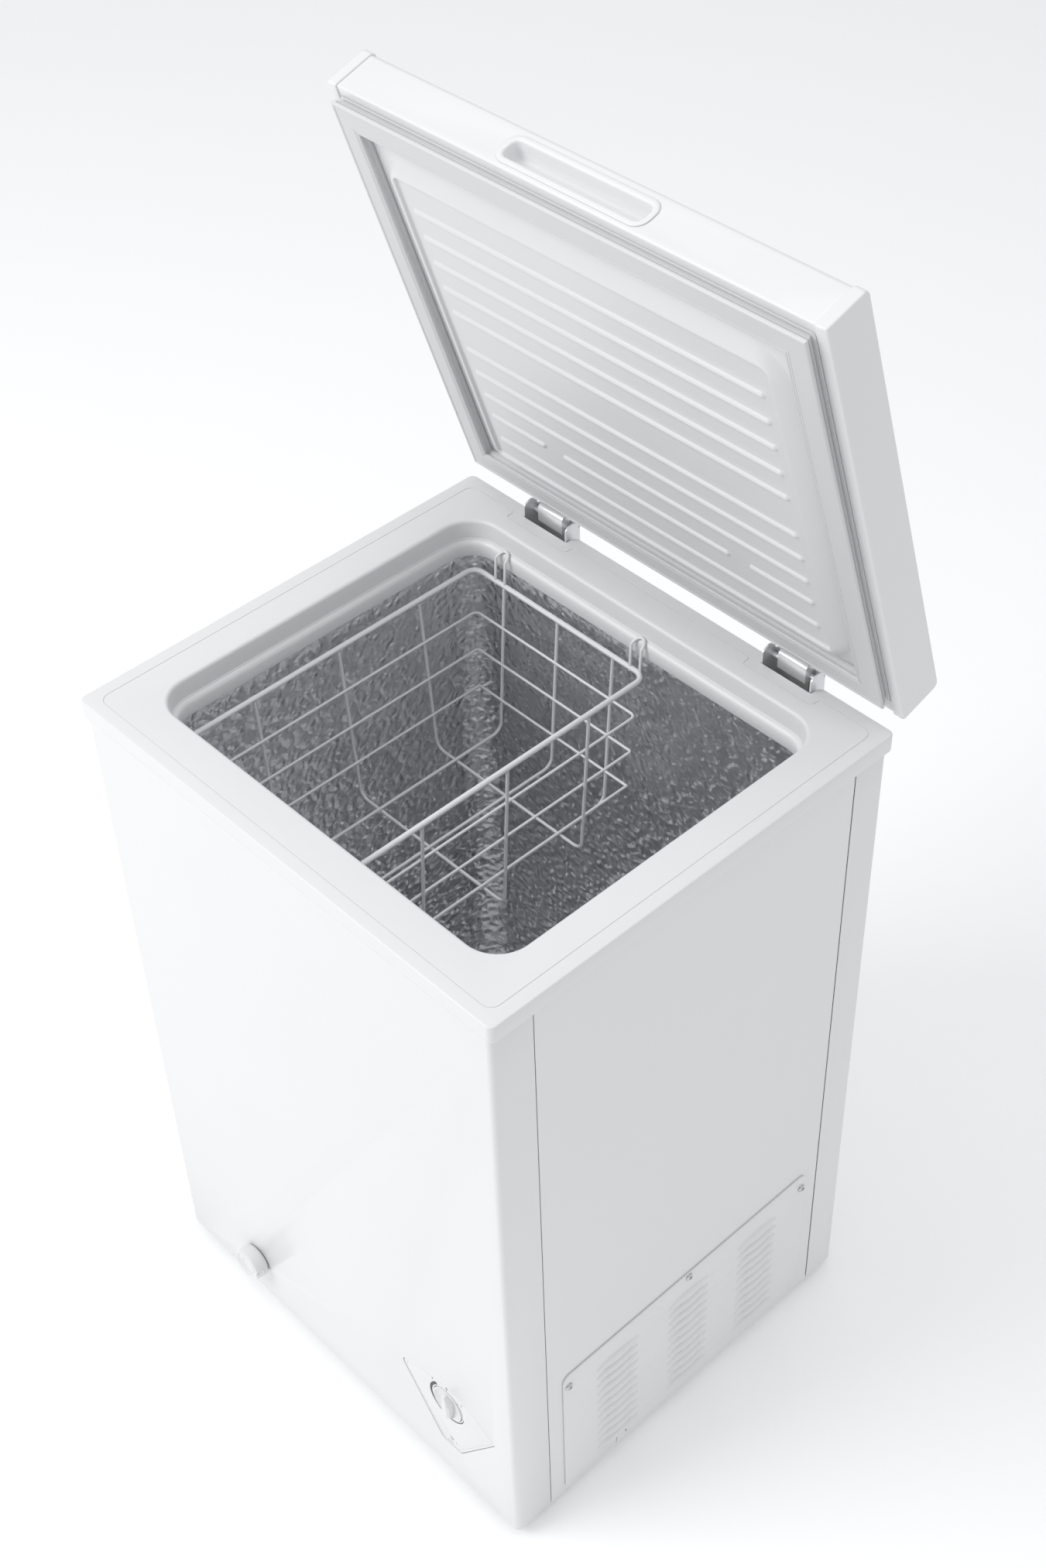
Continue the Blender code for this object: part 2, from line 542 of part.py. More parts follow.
# ---------------------------------------------------------------- hinges
def around(points):
    """Outline points given from the hinge pin, in (y, z)."""
    return [(HINGE_Y + y, HINGE_Z + z) for y, z in points]


CHEEK_T = 0.0016
BACK_WALL = 0.2461
cheek_line = [(0.2270, RIM_TOP - 0.0245), (0.2270, RIM_TOP), (0.2250, RIM_TOP + 0.0136),
              (0.2377, RIM_TOP + 0.0180), (0.2477, RIM_TOP + 0.0078), (0.2477, RIM_TOP - 0.075),
              (HALF_D + GAP, RIM_TOP - 0.075), (HALF_D + GAP, RIM_TOP - 0.0245)]
leaf_line = [(0.0021, -0.0084), (-0.0125, -0.0038), (-0.0139, -0.0021), (-0.0165, 0.0086)]
ear_line = [(0.0020, -0.0079), (0.0035, -0.0047), (0.0039, -0.0012), (0.0036, 0.0019), (0.0012, 0.0039),
            (-0.0016, 0.0043), (-0.0127, 0.0062), (-0.0132, -0.0019), (-0.0122, -0.0034)]

SCREW_HEAD_Y = HALF_D + GAP + 0.0016 + GAP
for label, hinge_x in (("left", -HINGE_X), ("right", HINGE_X)):
    w = HOUSING_HALF_W
    housing = bmesh.new()
    prism(cheek_line, hinge_x - w, hinge_x - w + CHEEK_T, "x", housing)
    housing = piece(f"hinge_housing_{label}", housing, STEEL, cabinet)
    parts = [prism(cheek_line, hinge_x + w - CHEEK_T, hinge_x + w, "x"),
             box(hinge_x - w, hinge_x + w, BACK_WALL, 0.2477, RIM_TOP - 0.075, RIM_TOP + 0.0078),
             box(hinge_x - w, hinge_x + w, HALF_D + GAP, 0.2477, RIM_TOP - 0.075, RIM_TOP - 0.0734)]
    for sign in (-1, 1):
        inner, outer_x = sorted((hinge_x + sign * (w - 0.001), hinge_x + sign * (w + 0.013)))
        parts.append(box(inner, outer_x, HALF_D + GAP, HALF_D + GAP + 0.0016, RIM_TOP - 0.070, RIM_TOP - 0.028))
    for i, part in enumerate(parts):
        combine(housing, tool(f"hinge_housing_{label}_{i}", part, cabinet), "UNION")
    cut(housing, rod(HINGE_Y, HINGE_Z, PIN_R + GAP, hinge_x - 0.04, hinge_x + 0.04, "x"), "pin_hole")
    piece(f"hinge_pin_{label}", rod(HINGE_Y, HINGE_Z, PIN_R, hinge_x - w, hinge_x + w, "x"), CHROME,
          cabinet, smooth=True)

    leaf = piece(f"hinge_leaf_{label}", prism(around(strip(leaf_line[::-1], 0.0014)), hinge_x - LEAF_HALF_W,
                                              hinge_x + LEAF_HALF_W, "x"), CHROME, lid_axis, HINGE)
    for i, sign in enumerate((-1, 1)):
        x0, x1 = sorted((hinge_x + sign * LEAF_HALF_W, hinge_x + sign * (LEAF_HALF_W - 0.0014)))
        ear = tool(f"hinge_ear_{label}_{i}", prism(around(ear_line), x0, x1, "x"), lid_axis, HINGE)
        combine(leaf, ear, "UNION")
    cut(leaf, rod(HINGE_Y, HINGE_Z, PIN_R + GAP, hinge_x - 0.04, hinge_x + 0.04, "x"), "pin_hole")

    turns, per_turn, wire_r, coil_r = 7, 10, 0.00055, 0.00345
    steps = turns * per_turn
    spring = []
    for i in range(steps + 1):
        a = 2 * math.pi * i / per_turn
        x = hinge_x - 0.011 + 0.022 * i / steps
        spring.append((x, HINGE_Y + coil_r * math.cos(a), HINGE_Z - coil_r * math.sin(a)))
    spring.append((hinge_x + 0.0112, HINGE_Y + coil_r, HINGE_Z - 0.0100))
    spring.append((hinge_x + 0.0112, HINGE_Y + coil_r, HINGE_Z - 0.0300))
    piece(f"hinge_spring_{label}", swept(spring, wire_r, sides=4), STEEL, cabinet, smooth=True)

    screw = [(0.0012, 0.2240), (0.0016, SCREW_HEAD_Y), (0.0036, SCREW_HEAD_Y), (0.0034, SCREW_HEAD_Y + 0.0012),
             (0.0018, SCREW_HEAD_Y + 0.0022)]
    for i, sign in enumerate((-1, 1)):
        x, z = hinge_x + sign * (w + 0.0065), RIM_TOP - 0.049
        for target in (housing, back, foam):
            cut(target, rod(x, z, 0.0020, 0.22, 0.26, "y", 12), "screw_hole")
        piece(f"hinge_screw_{label}_{i + 1}", turned(screw, x, z, "y", 12), STEEL, cabinet, smooth=True)


# ---------------------------------------------------------------- lid
def lid_outline(grow=0.0, r=0.006):
    """Side outline of the lid in (y, z), open along the bottom between its return flanges."""
    y0, y1 = LID_FRONT - grow, LID_BACK + grow
    z0, z1 = LID_TOP - LID_SKIRT - grow, LID_TOP + grow
    line = [(y1 - 0.017, z0)] + arc(y1 - 0.002, z0 + 0.002, 0.002, -90, 0, 2)
    line += arc(y1 - r, z1 - r, r, 0, 90) + arc(y0 + r, z1 - r, r, 90, 180)
    return line + arc(y0 + 0.002, z0 + 0.002, 0.002, 180, 270, 2) + [(y0 + 0.017, z0)]


LID_BOTTOM = LID_TOP - LID_SKIRT
SKIN_HALF_W = LID_HALF_W - LID_CAP_W - GAP
SEAL = (-0.2603, 0.2603, LID_FRONT + 0.0083, LID_BACK - 0.0179)
SEAL_R = 0.010
GRIP_X = 0.003
GRIP_Z = LID_TOP - 0.0250

skin = piece("lid_skin", prism(strip(lid_outline(), SHEET), -SKIN_HALF_W, SKIN_HALF_W, "x"), PAINT,
             lid_axis, HINGE)
core = (-SKIN_HALF_W, SKIN_HALF_W, LID_FRONT + SHEET + GAP, LID_BACK - SHEET - GAP)
shelf = LID_BOTTOM + SHEET + GAP
foam_rings = [ring_at(core, 0.0052, 0.006, LID_TOP - SHEET - GAP), ring_at(core, 0, 0.006, LID_TOP - 0.0052),
              ring_at(core, 0, 0.006, shelf + 0.0012), ring_at(core, 0.0012, 0.006, shelf),
              ring_at(SEAL, 0.030, SEAL_R + 0.030, shelf),
              ring_at(SEAL, 0.030, SEAL_R + 0.030, LID_BOTTOM - 0.0050)]
lid_foam = piece("lid_insulation", loft(bmesh.new(), foam_rings), FOAM, lid_axis, HINGE)

liner_rings = []
for into, down in ((0.0015, 0.0003), (0.0015, 0.0015), (0.0262, 0.0015), (0.0275, 0.0070), (0.0310, 0.0072),
                   (0.0335, 0.0095), (0.0365, 0.0095), (0.0400, 0.0070)):
    liner_rings.append(ring_at(SEAL, into, SEAL_R + 0.030, LID_BOTTOM - down))
inner_rings = [ring_at(SEAL, 0.0400, SEAL_R + 0.030, LID_BOTTOM - 0.0053),
               ring_at(SEAL, 0.0290, SEAL_R + 0.030, LID_BOTTOM - 0.0053),
               ring_at(SEAL, 0.0280, SEAL_R + 0.030, LID_BOTTOM - 0.0003)]
piece("lid_liner", loft(bmesh.new(), inner_rings + liner_rings), PLASTIC, lid_axis, HINGE)

seal_rings = []
for into, down in ((0.0, 0.0045), (0.0, 0.0105), (0.0015, 0.0119), (0.0235, 0.0119), (0.0253, 0.0105),
                   (0.0253, 0.0018), (0.0040, 0.0018), (0.0040, 0.0045)):
    seal_rings.append(ring_at(SEAL, into, SEAL_R, LID_BOTTOM - down, 3))
piece("lid_gasket", loft(bmesh.new(), seal_rings, loop=True), GASKET, lid_axis, HINGE)

for label, sign in (("left", -1), ("right", 1)):
    x0, x1 = sign * (LID_HALF_W - LID_CAP_W), sign * LID_HALF_W
    end = [[on_axis("x", y, z, x) for y, z in lid_outline(grow)]
           for grow, x in ((0.0012, x0), (0.0012, x1 - sign * 0.0015), (-0.0003, x1))]
    piece(f"lid_cap_{label}", loft(bmesh.new(), end), PLASTIC, lid_axis, HINGE)


def grip_ring(grow, y):
    half_w, half_h = 0.0775 + grow, 0.0110 + grow
    line = rounded(GRIP_X - half_w, GRIP_X + half_w, GRIP_Z - half_h, GRIP_Z + half_h, 0.008 + grow, 4)
    return [(x, y, z) for x, z in line]


f = LID_FRONT
cup = [grip_ring(-0.0028, f + 0.0185), grip_ring(-0.0018, f + 0.0175), grip_ring(-0.0005, f - GAP),
       grip_ring(0.0045, f - GAP), grip_ring(0.0040, f - 0.0013), grip_ring(-0.0015, f - 0.0013),
       grip_ring(-0.0033, f + 0.0150), grip_ring(-0.0043, f + 0.0165)]
piece("lid_grip", loft(bmesh.new(), cup), PLASTIC, lid_axis, HINGE)
for target in (skin, lid_foam):
    cut(target, loft(bmesh.new(), [grip_ring(0.0, f - 0.01), grip_ring(0.0, f + 0.0190)]), "grip_hole")
    for side in (-1, 1):
        for edge in (-1, 1):
            x = side * HINGE_X + edge * (HOUSING_HALF_W - CHEEK_T / 2)
            slot = box(x - 0.0022, x + 0.0022, HINGE_Y - 0.0215, 0.26, HINGE_Z - 0.02, HINGE_Z + 0.0175)
            cut(target, slot, "hinge_slot")

# ---------------------------------------------------------------- basket
rim, floor = BASKET_RIM, BASKET_RIM - BASKET_DEPTH
basket_rings = [ring_at(BASKET, 0.010, 0.014, floor), ring_at(BASKET, 0.0, 0.014, rim),
                ring_at(BASKET, 0.0030, 0.014, rim), ring_at(BASKET, 0.0130, 0.014, floor + 0.003)]
basket = piece("wire_basket", loft(bmesh.new(), basket_rings), WIRE, cabinet,
               (sum(BASKET[:2]) / 2, sum(BASKET[2:]) / 2, floor))
for hook_x in (BASKET[0] + 0.040, BASKET[1] - 0.018):
    for sign, wall, edge in ((-1, BASKET[2], OPENING[2]), (1, BASKET[3], OPENING[3])):
        ledge = edge - sign * 0.0030
        y0, y1 = sorted((wall - sign * 0.0015, ledge))
        leg0, leg1 = sorted((wall - sign * 0.0015, edge - sign * 0.0068))
        arm = box(hook_x - 0.004, hook_x + 0.004, leg0, leg1, rim - 0.012, RIM_TOP - 0.018)
        combine(basket, tool("basket_leg", arm, cabinet, basket.location[:]), "UNION")
        arm = box(hook_x - 0.004, hook_x + 0.004, y0, y1, RIM_TOP - 0.0212, RIM_TOP - 0.018)
        combine(basket, tool("basket_hook", arm, cabinet, basket.location[:]), "UNION")


# ---------------------------------------------------------------- put the footprint's middle at the origin
def span_y():
    bpy.context.view_layer.update()
    ys = []
    for obj in bpy.data.objects:
        if obj.type == "MESH" and not obj.hide_render:
            ys += [(obj.matrix_world @ v.co).y for v in obj.data.vertices]
    return min(ys), max(ys)


cabinet.location.y = -sum(span_y()) / 2
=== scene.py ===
"""Looks of a small white chest freezer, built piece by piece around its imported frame."""
import math

import bmesh
import bpy
from mathutils import Matrix, Vector


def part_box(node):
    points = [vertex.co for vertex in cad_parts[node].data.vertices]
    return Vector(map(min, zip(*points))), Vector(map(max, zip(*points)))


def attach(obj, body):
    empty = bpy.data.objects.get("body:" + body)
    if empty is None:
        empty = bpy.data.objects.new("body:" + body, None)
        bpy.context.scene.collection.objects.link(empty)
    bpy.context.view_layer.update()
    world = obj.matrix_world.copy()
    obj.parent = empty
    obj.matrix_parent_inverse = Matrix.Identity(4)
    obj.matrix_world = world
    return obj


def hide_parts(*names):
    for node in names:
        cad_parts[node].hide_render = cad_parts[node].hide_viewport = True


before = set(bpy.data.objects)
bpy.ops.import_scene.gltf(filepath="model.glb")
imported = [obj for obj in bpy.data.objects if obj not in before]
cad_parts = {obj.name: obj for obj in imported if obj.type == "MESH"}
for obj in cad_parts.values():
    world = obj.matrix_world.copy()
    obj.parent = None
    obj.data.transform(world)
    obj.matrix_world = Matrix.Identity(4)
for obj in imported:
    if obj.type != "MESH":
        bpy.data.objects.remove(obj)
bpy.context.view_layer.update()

# ---------------------------------------------------------------- camera
# A 52 mm lens stands high on the freezer's front right and looks down on the open lid, the tub
# and the two outer walls that carry the controls and the vents.
def placed(name, data):
    """A new object in the scene that shows data."""
    obj = bpy.data.objects.new(name, data)
    bpy.context.scene.collection.objects.link(obj)
    return obj


plate_low, plate_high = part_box("base_plate")
middle = (plate_low.y + plate_high.y) / 2
turn, tilt, roll = math.radians(48.16), math.radians(43.48), math.radians(-2.16)
ahead = Vector((-math.sin(turn) * math.cos(tilt), math.cos(turn) * math.cos(tilt), -math.sin(tilt)))
across = ahead.cross(Vector((0, 0, 1))).normalized()
above = across.cross(ahead)
right = across * math.cos(roll) + above * math.sin(roll)
up = above * math.cos(roll) - across * math.sin(roll)
lens = bpy.data.cameras.new("camera")
lens.sensor_fit = "VERTICAL"
lens.sensor_height = 36
lens.lens = 52
camera = placed("camera", lens)
stand = Matrix.Translation((1.1336, middle - 0.9677, 2.1202))
camera.matrix_world = stand @ Matrix((right, up, -ahead)).transposed().to_4x4()
bpy.context.scene.camera = camera
bpy.context.scene.view_settings.view_transform = "Standard"


# ---------------------------------------------------------------- wrapped cabinet sheets
# One steel sheet turns round the front corners and one round the back, painted gloss white before
# folding; the flat side sheets sit half a millimetre lower between them.
def rounded(x0, x1, y0, y1, r, steps=10):
    """Outline of a rectangle with round corners, anticlockwise."""
    points = []
    for cx, cy, start in ((x1 - r, y1 - r, 0), (x0 + r, y1 - r, 90), (x0 + r, y0 + r, 180),
                          (x1 - r, y0 + r, 270)):
        points += arc(cx, cy, r, start, start + 90, steps)
    return points


def arc(cx, cy, r, start, end, steps=8):
    angles = [math.radians(start + (end - start) * i / steps) for i in range(steps + 1)]
    return [(cx + r * math.cos(a), cy + r * math.sin(a)) for a in angles]


def at(axis, u, v, w):
    """Outline point (u, v) at w along an axis: z takes (x, y), y takes (x, z), x takes (y, z)."""
    return {"z": (u, v, w), "y": (u, w, v), "x": (w, u, v)}[axis]


def skinned(rings, loop=False, capped=True, bm=None):
    """Skin over rings of equal length."""
    bm = bm or bmesh.new()
    rows = [[bm.verts.new(p) for p in ring] for ring in rings]
    for a, b in zip(rows, rows[1:] + (rows[:1] if loop else [])):
        for i in range(len(a)):
            j = (i + 1) % len(a)
            bm.faces.new((a[i], a[j], b[j], b[i]))
    if capped and not loop:
        bm.faces.new(rows[0])
        bm.faces.new(rows[-1])
    return bm


def lofted(levels, axis="z", loop=False, bm=None):
    """Skin over outlines, each given with its place along the axis."""
    return skinned([[at(axis, u, v, w) for u, v in outline] for outline, w in levels], loop=loop, bm=bm)


def prism(outline, w0, w1, axis="z", bm=None):
    return lofted(((outline, w0), (outline, w1)), axis, bm=bm)


def rectangle(x0, x1, y0, y1):
    return [(x0, y0), (x1, y0), (x1, y1), (x0, y1)]


def folded(line, thickness):
    """Closed outline of sheet metal that follows an open line, with its thickness on the left."""
    line = [Vector(p) for p in line]
    inner = []
    for i, here in enumerate(line):
        pairs = [(a, b) for a, b in ((i - 1, i), (i, i + 1)) if a >= 0 and b < len(line)]
        ways = [(line[b] - line[a]).normalized() for a, b in pairs]
        sides = [Vector((-d.y, d.x)) for d in ways]
        mid = sum(sides, Vector((0, 0))).normalized()
        inner.append(here + mid * (thickness / max(mid.dot(sides[0]), 0.4)))
    return [tuple(p) for p in line + inner[::-1]]


def shaped(name, bm):
    """An object made of bm, which is used up."""
    mesh = bpy.data.meshes.new(name)
    bm.to_mesh(mesh)
    bm.free()
    return placed(name, mesh)


def loosened(obj):
    """The mesh of an object, free to be worked on; the object goes."""
    bm = bmesh.new()
    bm.from_mesh(obj.data)
    bpy.data.objects.remove(obj)
    return bm


def solid(name, bm, surface, angle=32, edge=0.0, keep=None, adds=(), cutters=(), opened=None):
    """A finished piece of bm: trimmed to `keep`, joined, cut, its edges broken, smooth."""
    bmesh.ops.remove_doubles(bm, verts=bm.verts, dist=1e-6)
    bmesh.ops.recalc_face_normals(bm, faces=bm.faces)
    obj = shaped(name, bm)
    tools = []
    jobs = [(keep, "INTERSECT")] if keep else []
    jobs += [(other, "UNION") for other in adds] + [(other, "DIFFERENCE") for other in cutters]
    for other, operation in jobs:
        bmesh.ops.recalc_face_normals(other, faces=other.faces)
        tools.append(shaped(f"{name}_tool", other))
        mod = obj.modifiers.new(operation.lower(), "BOOLEAN")
        mod.object, mod.solver, mod.operation = tools[-1], "EXACT", operation
    if edge:
        mod = obj.modifiers.new("broken_edges", "BEVEL")
        mod.width, mod.segments, mod.limit_method = edge, 3, "ANGLE"
        mod.angle_limit = math.radians(40)
        mod.use_clamp_overlap = True
    if obj.modifiers:
        obj = baked(obj)
    for other in tools:
        bpy.data.objects.remove(other)
    if opened:
        obj.data.transform(opened)
    obj.data.materials.clear()
    obj.data.materials.append(surface)
    obj.data.shade_smooth()
    obj.data.set_sharp_from_angle(angle=math.radians(angle))
    return obj


def baked(obj):
    """A plain mesh object in place of obj, its modifiers or letters made into mesh."""
    bpy.context.view_layer.update()
    mesh = bpy.data.meshes.new_from_object(obj.evaluated_get(bpy.context.evaluated_depsgraph_get()))
    name = obj.name
    bpy.data.objects.remove(obj)
    return placed(name, mesh)


def fit(obj, body, slot, *nodes):
    """Hang a finished piece on its body, in place of the plain nodes that it stands for."""
    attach(obj, body)
    if nodes:
        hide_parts(*nodes)
    return obj


def finish(name, color, roughness, metallic=0.0, coat=0.0, grain=(), tint=0.03, patch=9.0, wear=0.04):
    """Procedural finish: slight colour and gloss patches, and bumps given as (scale, depth)."""
    mat = bpy.data.materials.new(name)
    mat.use_nodes = True
    nodes, links = mat.node_tree.nodes, mat.node_tree.links
    shader = nodes["Principled BSDF"]
    shader.inputs["Metallic"].default_value = metallic
    shader.inputs["Coat Weight"].default_value = coat
    shader.inputs["Coat Roughness"].default_value = 0.08
    place = nodes.new("ShaderNodeTexCoord")
    cloud = nodes.new("ShaderNodeTexNoise")
    cloud.inputs["Scale"].default_value = patch
    cloud.inputs["Detail"].default_value = 4
    links.new(place.outputs["Object"], cloud.inputs["Vector"])
    shade = nodes.new("ShaderNodeMix")
    shade.data_type = "RGBA"
    shade.inputs["A"].default_value = (*[c * (1 - tint) for c in color], 1)
    shade.inputs["B"].default_value = (*[min(1, c * (1 + tint)) for c in color], 1)
    links.new(cloud.outputs["Fac"], shade.inputs["Factor"])
    links.new(shade.outputs["Result"], shader.inputs["Base Color"])
    gloss = nodes.new("ShaderNodeMapRange")
    gloss.inputs["To Min"].default_value = roughness - wear
    gloss.inputs["To Max"].default_value = roughness + wear
    links.new(cloud.outputs["Fac"], gloss.inputs["Value"])
    links.new(gloss.outputs["Result"], shader.inputs["Roughness"])
    below = None
    for scale, depth in grain:
        texture = nodes.new("ShaderNodeTexNoise")
        texture.inputs["Scale"].default_value = scale
        texture.inputs["Detail"].default_value = 3
        links.new(place.outputs["Object"], texture.inputs["Vector"])
        bump = nodes.new("ShaderNodeBump")
        bump.inputs["Distance"].default_value = depth
        bump.inputs["Strength"].default_value = 1.0
        links.new(texture.outputs["Fac"], bump.inputs["Height"])
        if below:
            links.new(below.outputs["Normal"], bump.inputs["Normal"])
        links.new(bump.outputs["Normal"], shader.inputs["Normal"])
        below = bump
    return mat


white_paint = finish("gloss_white_paint", (0.80, 0.805, 0.805), 0.30, coat=0.25, tint=0.012,
                     grain=((5.0, 0.0006), (700.0, 0.00002)))
sheet = 0.001
front_low, front_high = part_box("front_panel")
back_low, back_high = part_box("back_panel")
half_w, corner = front_high.x, 0.006
front_y, back_y = front_low.y, back_high.y
front_turns = arc(corner - half_w, front_y + corner, corner, 180, 270, 12)
front_turns += arc(half_w - corner, front_y + corner, corner, 270, 360, 12)
back_turns = arc(half_w - corner, back_y - corner, corner, 0, 90, 12)
back_turns += arc(corner - half_w, back_y - corner, corner, 90, 180, 12)
front_wrap = [(-half_w, front_high.y), *front_turns, (half_w, front_high.y)]
back_wrap = [(half_w, back_low.y), *back_turns, (-half_w, back_low.y)]

panel_low, panel_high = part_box("control_panel")
panel_x = (panel_low.x + panel_high.x) / 2
knob_low, knob_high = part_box("thermostat_knob")
dial_x, dial_z = (knob_low.x + knob_high.x) / 2, (knob_low.z + knob_high.z) / 2
cap_low, cap_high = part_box("drain_cap")
drain_x, drain_z = (cap_low.x + cap_high.x) / 2, (cap_low.z + cap_high.z) / 2
gland_low, gland_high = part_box("cable_gland")
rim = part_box("collar")[1].z
hinge_x, hinge_half = 0.1555, 0.0295
hinge_y, hinge_z = middle + 0.24161, rim + 0.00285


def filleted(corners, steps=6, closed=True):
    """Outline through corners given as (u, v, radius), each rounded by its radius."""
    points = []
    for i, (u, v, r) in enumerate(corners):
        if not r or (not closed and i in (0, len(corners) - 1)):
            points.append((u, v))
            continue
        here = Vector((u, v))
        back = (Vector(corners[i - 1][:2]) - here).normalized()
        on = (Vector(corners[(i + 1) % len(corners)][:2]) - here).normalized()
        half = back.angle(on) / 2
        centre = here + (back + on).normalized() * (r / math.sin(half))
        first = here + back * (r / math.tan(half)) - centre
        sweep = math.copysign(math.pi - 2 * half, -back.cross(on))
        for k in range(steps + 1):
            points.append(tuple(centre + Matrix.Rotation(sweep * k / steps, 2) @ first))
    return points


def shield(grow=0.0):
    """Outline of the control panel: arched top, round shoulders, sides that slant to a narrow foot."""
    half, foot, shoulder = 0.0705 + 1.8 * grow, panel_low.z - grow, panel_low.z + 0.0847 + grow
    rise = 0.0208
    corners = [(0, foot, 0), (0.0135 + grow, foot, 0.008), (half, shoulder, 0.008)]
    corners += [(half * s, shoulder + rise * (1 - s * s), 0) for s in (0.6, 0.48, 0.36, 0.24, 0.12)]
    side = filleted(corners, closed=False)
    outline = side + [(0, shoulder + rise)] + [(-x, z) for x, z in reversed(side[1:])]
    return [(panel_x + x, z) for x, z in outline]


def rod(u, v, r, w0, w1, axis="z", steps=24):
    """Round bar or hole along an axis."""
    return prism(arc(u, v, r, 0, 360 - 360 / steps, steps - 1), w0, w1, axis)


def box(x0, x1, y0, y1, z0, z1):
    return prism(rectangle(x0, x1, y0, y1), z0, z1)


def hinge_notch(x):
    """Notch for a hinge, flared where it leaves the back edge."""
    w, y0, y1 = hinge_half + 0.0008, middle + 0.2264, middle + 0.23955
    left, right = x - w - 0.012, x + w + 0.012
    corners = [(left, y1 + 0.02, 0), (left, y1, 0), (x - w, y1, 0.008), (x - w, y0, 0.001),
               (x + w, y0, 0.001), (x + w, y1, 0.008), (right, y1, 0), (right, y1 + 0.02, 0)]
    return prism(filleted(corners), rim - 0.0256, rim + 0.01)


front = solid("front_sheet", prism(folded(front_wrap, sheet), front_low.z, front_high.z), white_paint,
              edge=0.0003, cutters=[prism(shield(0.0003), front_y - 0.01, front_y + 0.01, "y"),
                                    rod(drain_x, drain_z, 0.0098, front_y - 0.01, front_y + 0.01, "y", 40)])
fit(front, "cabinet", "white_paint", "front_panel")

gland_x, gland_z = (gland_low.x + gland_high.x) / 2, (gland_low.z + gland_high.z) / 2
gland_hole = rod(gland_x, gland_z, 0.0073, back_y - 0.01, back_y + 0.01, "y", 32)
back = solid("back_sheet", prism(folded(back_wrap, sheet), back_low.z, back_high.z), white_paint,
             edge=0.0003, cutters=[hinge_notch(-hinge_x), hinge_notch(hinge_x), gland_hole])
fit(back, "cabinet", "white_paint", "back_panel")


# ---------------------------------------------------------------- flat sides, base and feet
# The two side sheets are flat pressings slotted between the wrapped ones; the base plate is
# zinc-coated steel and stands on four moulded rubber feet.
def dress(surface, *names):
    """Give plain nodes that stay as they are their finish."""
    for name in names:
        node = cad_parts[name]
        node.data.materials.clear()
        node.data.materials.append(surface)


zinc = finish("zinc_steel", (0.80, 0.81, 0.82), 0.42, metallic=0.75, tint=0.05, patch=60.0,
              grain=((900.0, 0.00003),))
plated = finish("plated_screws", (0.62, 0.62, 0.63), 0.26, metallic=1.0, tint=0.05, patch=80.0)
rubber = finish("black_rubber", (0.035, 0.035, 0.036), 0.72, tint=0.2, grain=((600.0, 0.00008),))
dress(white_paint, "side_panel_left", "side_panel_right")
dress(zinc, "base_plate")
dress(rubber, "foot_front_left", "foot_front_right", "foot_back_left", "foot_back_right")


# ---------------------------------------------------------------- tub liner
# The food space is lined with stucco-embossed aluminium, folded to the stepped shape of the tub with
# soft bends, its top edge tucked behind the plastic collar.
opening = (-0.226, 0.226, middle - 0.1905, middle + 0.196)
opening_r = 0.034
liner_low, liner_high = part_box("inner_liner")


def inset(rect, d):
    x0, x1, y0, y1 = rect
    return (x0 + d, x1 - d, y0 + d, y1 - d)


def stucco(name, color, roughness):
    """Aluminium rolled with an irregular pebble pattern."""
    mat = finish(name, color, roughness, metallic=1.0, tint=0.05, patch=30.0)
    nodes, links = mat.node_tree.nodes, mat.node_tree.links
    place = nodes["Texture Coordinate"]
    wander = nodes.new("ShaderNodeTexNoise")
    wander.inputs["Scale"].default_value = 55
    drift = nodes.new("ShaderNodeVectorMath")
    drift.operation = "MULTIPLY_ADD"
    drift.inputs[1].default_value = (0.012, 0.012, 0.012)
    pebbles = nodes.new("ShaderNodeTexVoronoi")
    pebbles.feature = "SMOOTH_F1"
    pebbles.inputs["Scale"].default_value = 120
    pebbles.inputs["Smoothness"].default_value = 0.6
    bump = nodes.new("ShaderNodeBump")
    bump.invert = True
    bump.inputs["Distance"].default_value = 0.0030
    links.new(place.outputs["Object"], wander.inputs["Vector"])
    links.new(wander.outputs["Color"], drift.inputs[0])
    links.new(place.outputs["Object"], drift.inputs[2])
    links.new(drift.outputs["Vector"], pebbles.inputs["Vector"])
    links.new(pebbles.outputs["Distance"], bump.inputs["Height"])
    links.new(bump.outputs["Normal"], nodes["Principled BSDF"].inputs["Normal"])
    return mat


embossed = stucco("embossed_aluminium", (0.86, 0.87, 0.88), 0.30)
floor_z, step_x, step_z = liner_low.z + sheet, 0.045, 0.290
void = prism(rounded(*inset(opening, 0.004), opening_r - 0.004), floor_z, liner_high.z + 0.03)
tub = solid("tub_hollow", void, embossed, cutters=[box(step_x, 0.3, -0.4, 0.4, 0, step_z)])
bend = tub.modifiers.new("soft_bends", "BEVEL")
bend.width, bend.segments, bend.limit_method, bend.angle_limit = 0.007, 4, "ANGLE", math.radians(50)
bm = loosened(baked(tub))
bmesh.ops.bisect_plane(bm, geom=bm.verts[:] + bm.edges[:] + bm.faces[:], plane_co=(0, 0, liner_high.z),
                       plane_no=(0, 0, 1), clear_outer=True)
bmesh.ops.reverse_faces(bm, faces=bm.faces)
liner = shaped("tub_liner", bm)
wall = liner.modifiers.new("thickness", "SOLIDIFY")
wall.thickness, wall.offset = sheet, -1
plug_hole = rod(drain_x, middle - 0.150, 0.0095, 0.05, 0.12, steps=32)
liner = solid("tub_liner", loosened(baked(liner)), embossed, cutters=[plug_hole])
fit(liner, "cabinet", "embossed_aluminium", "inner_liner")


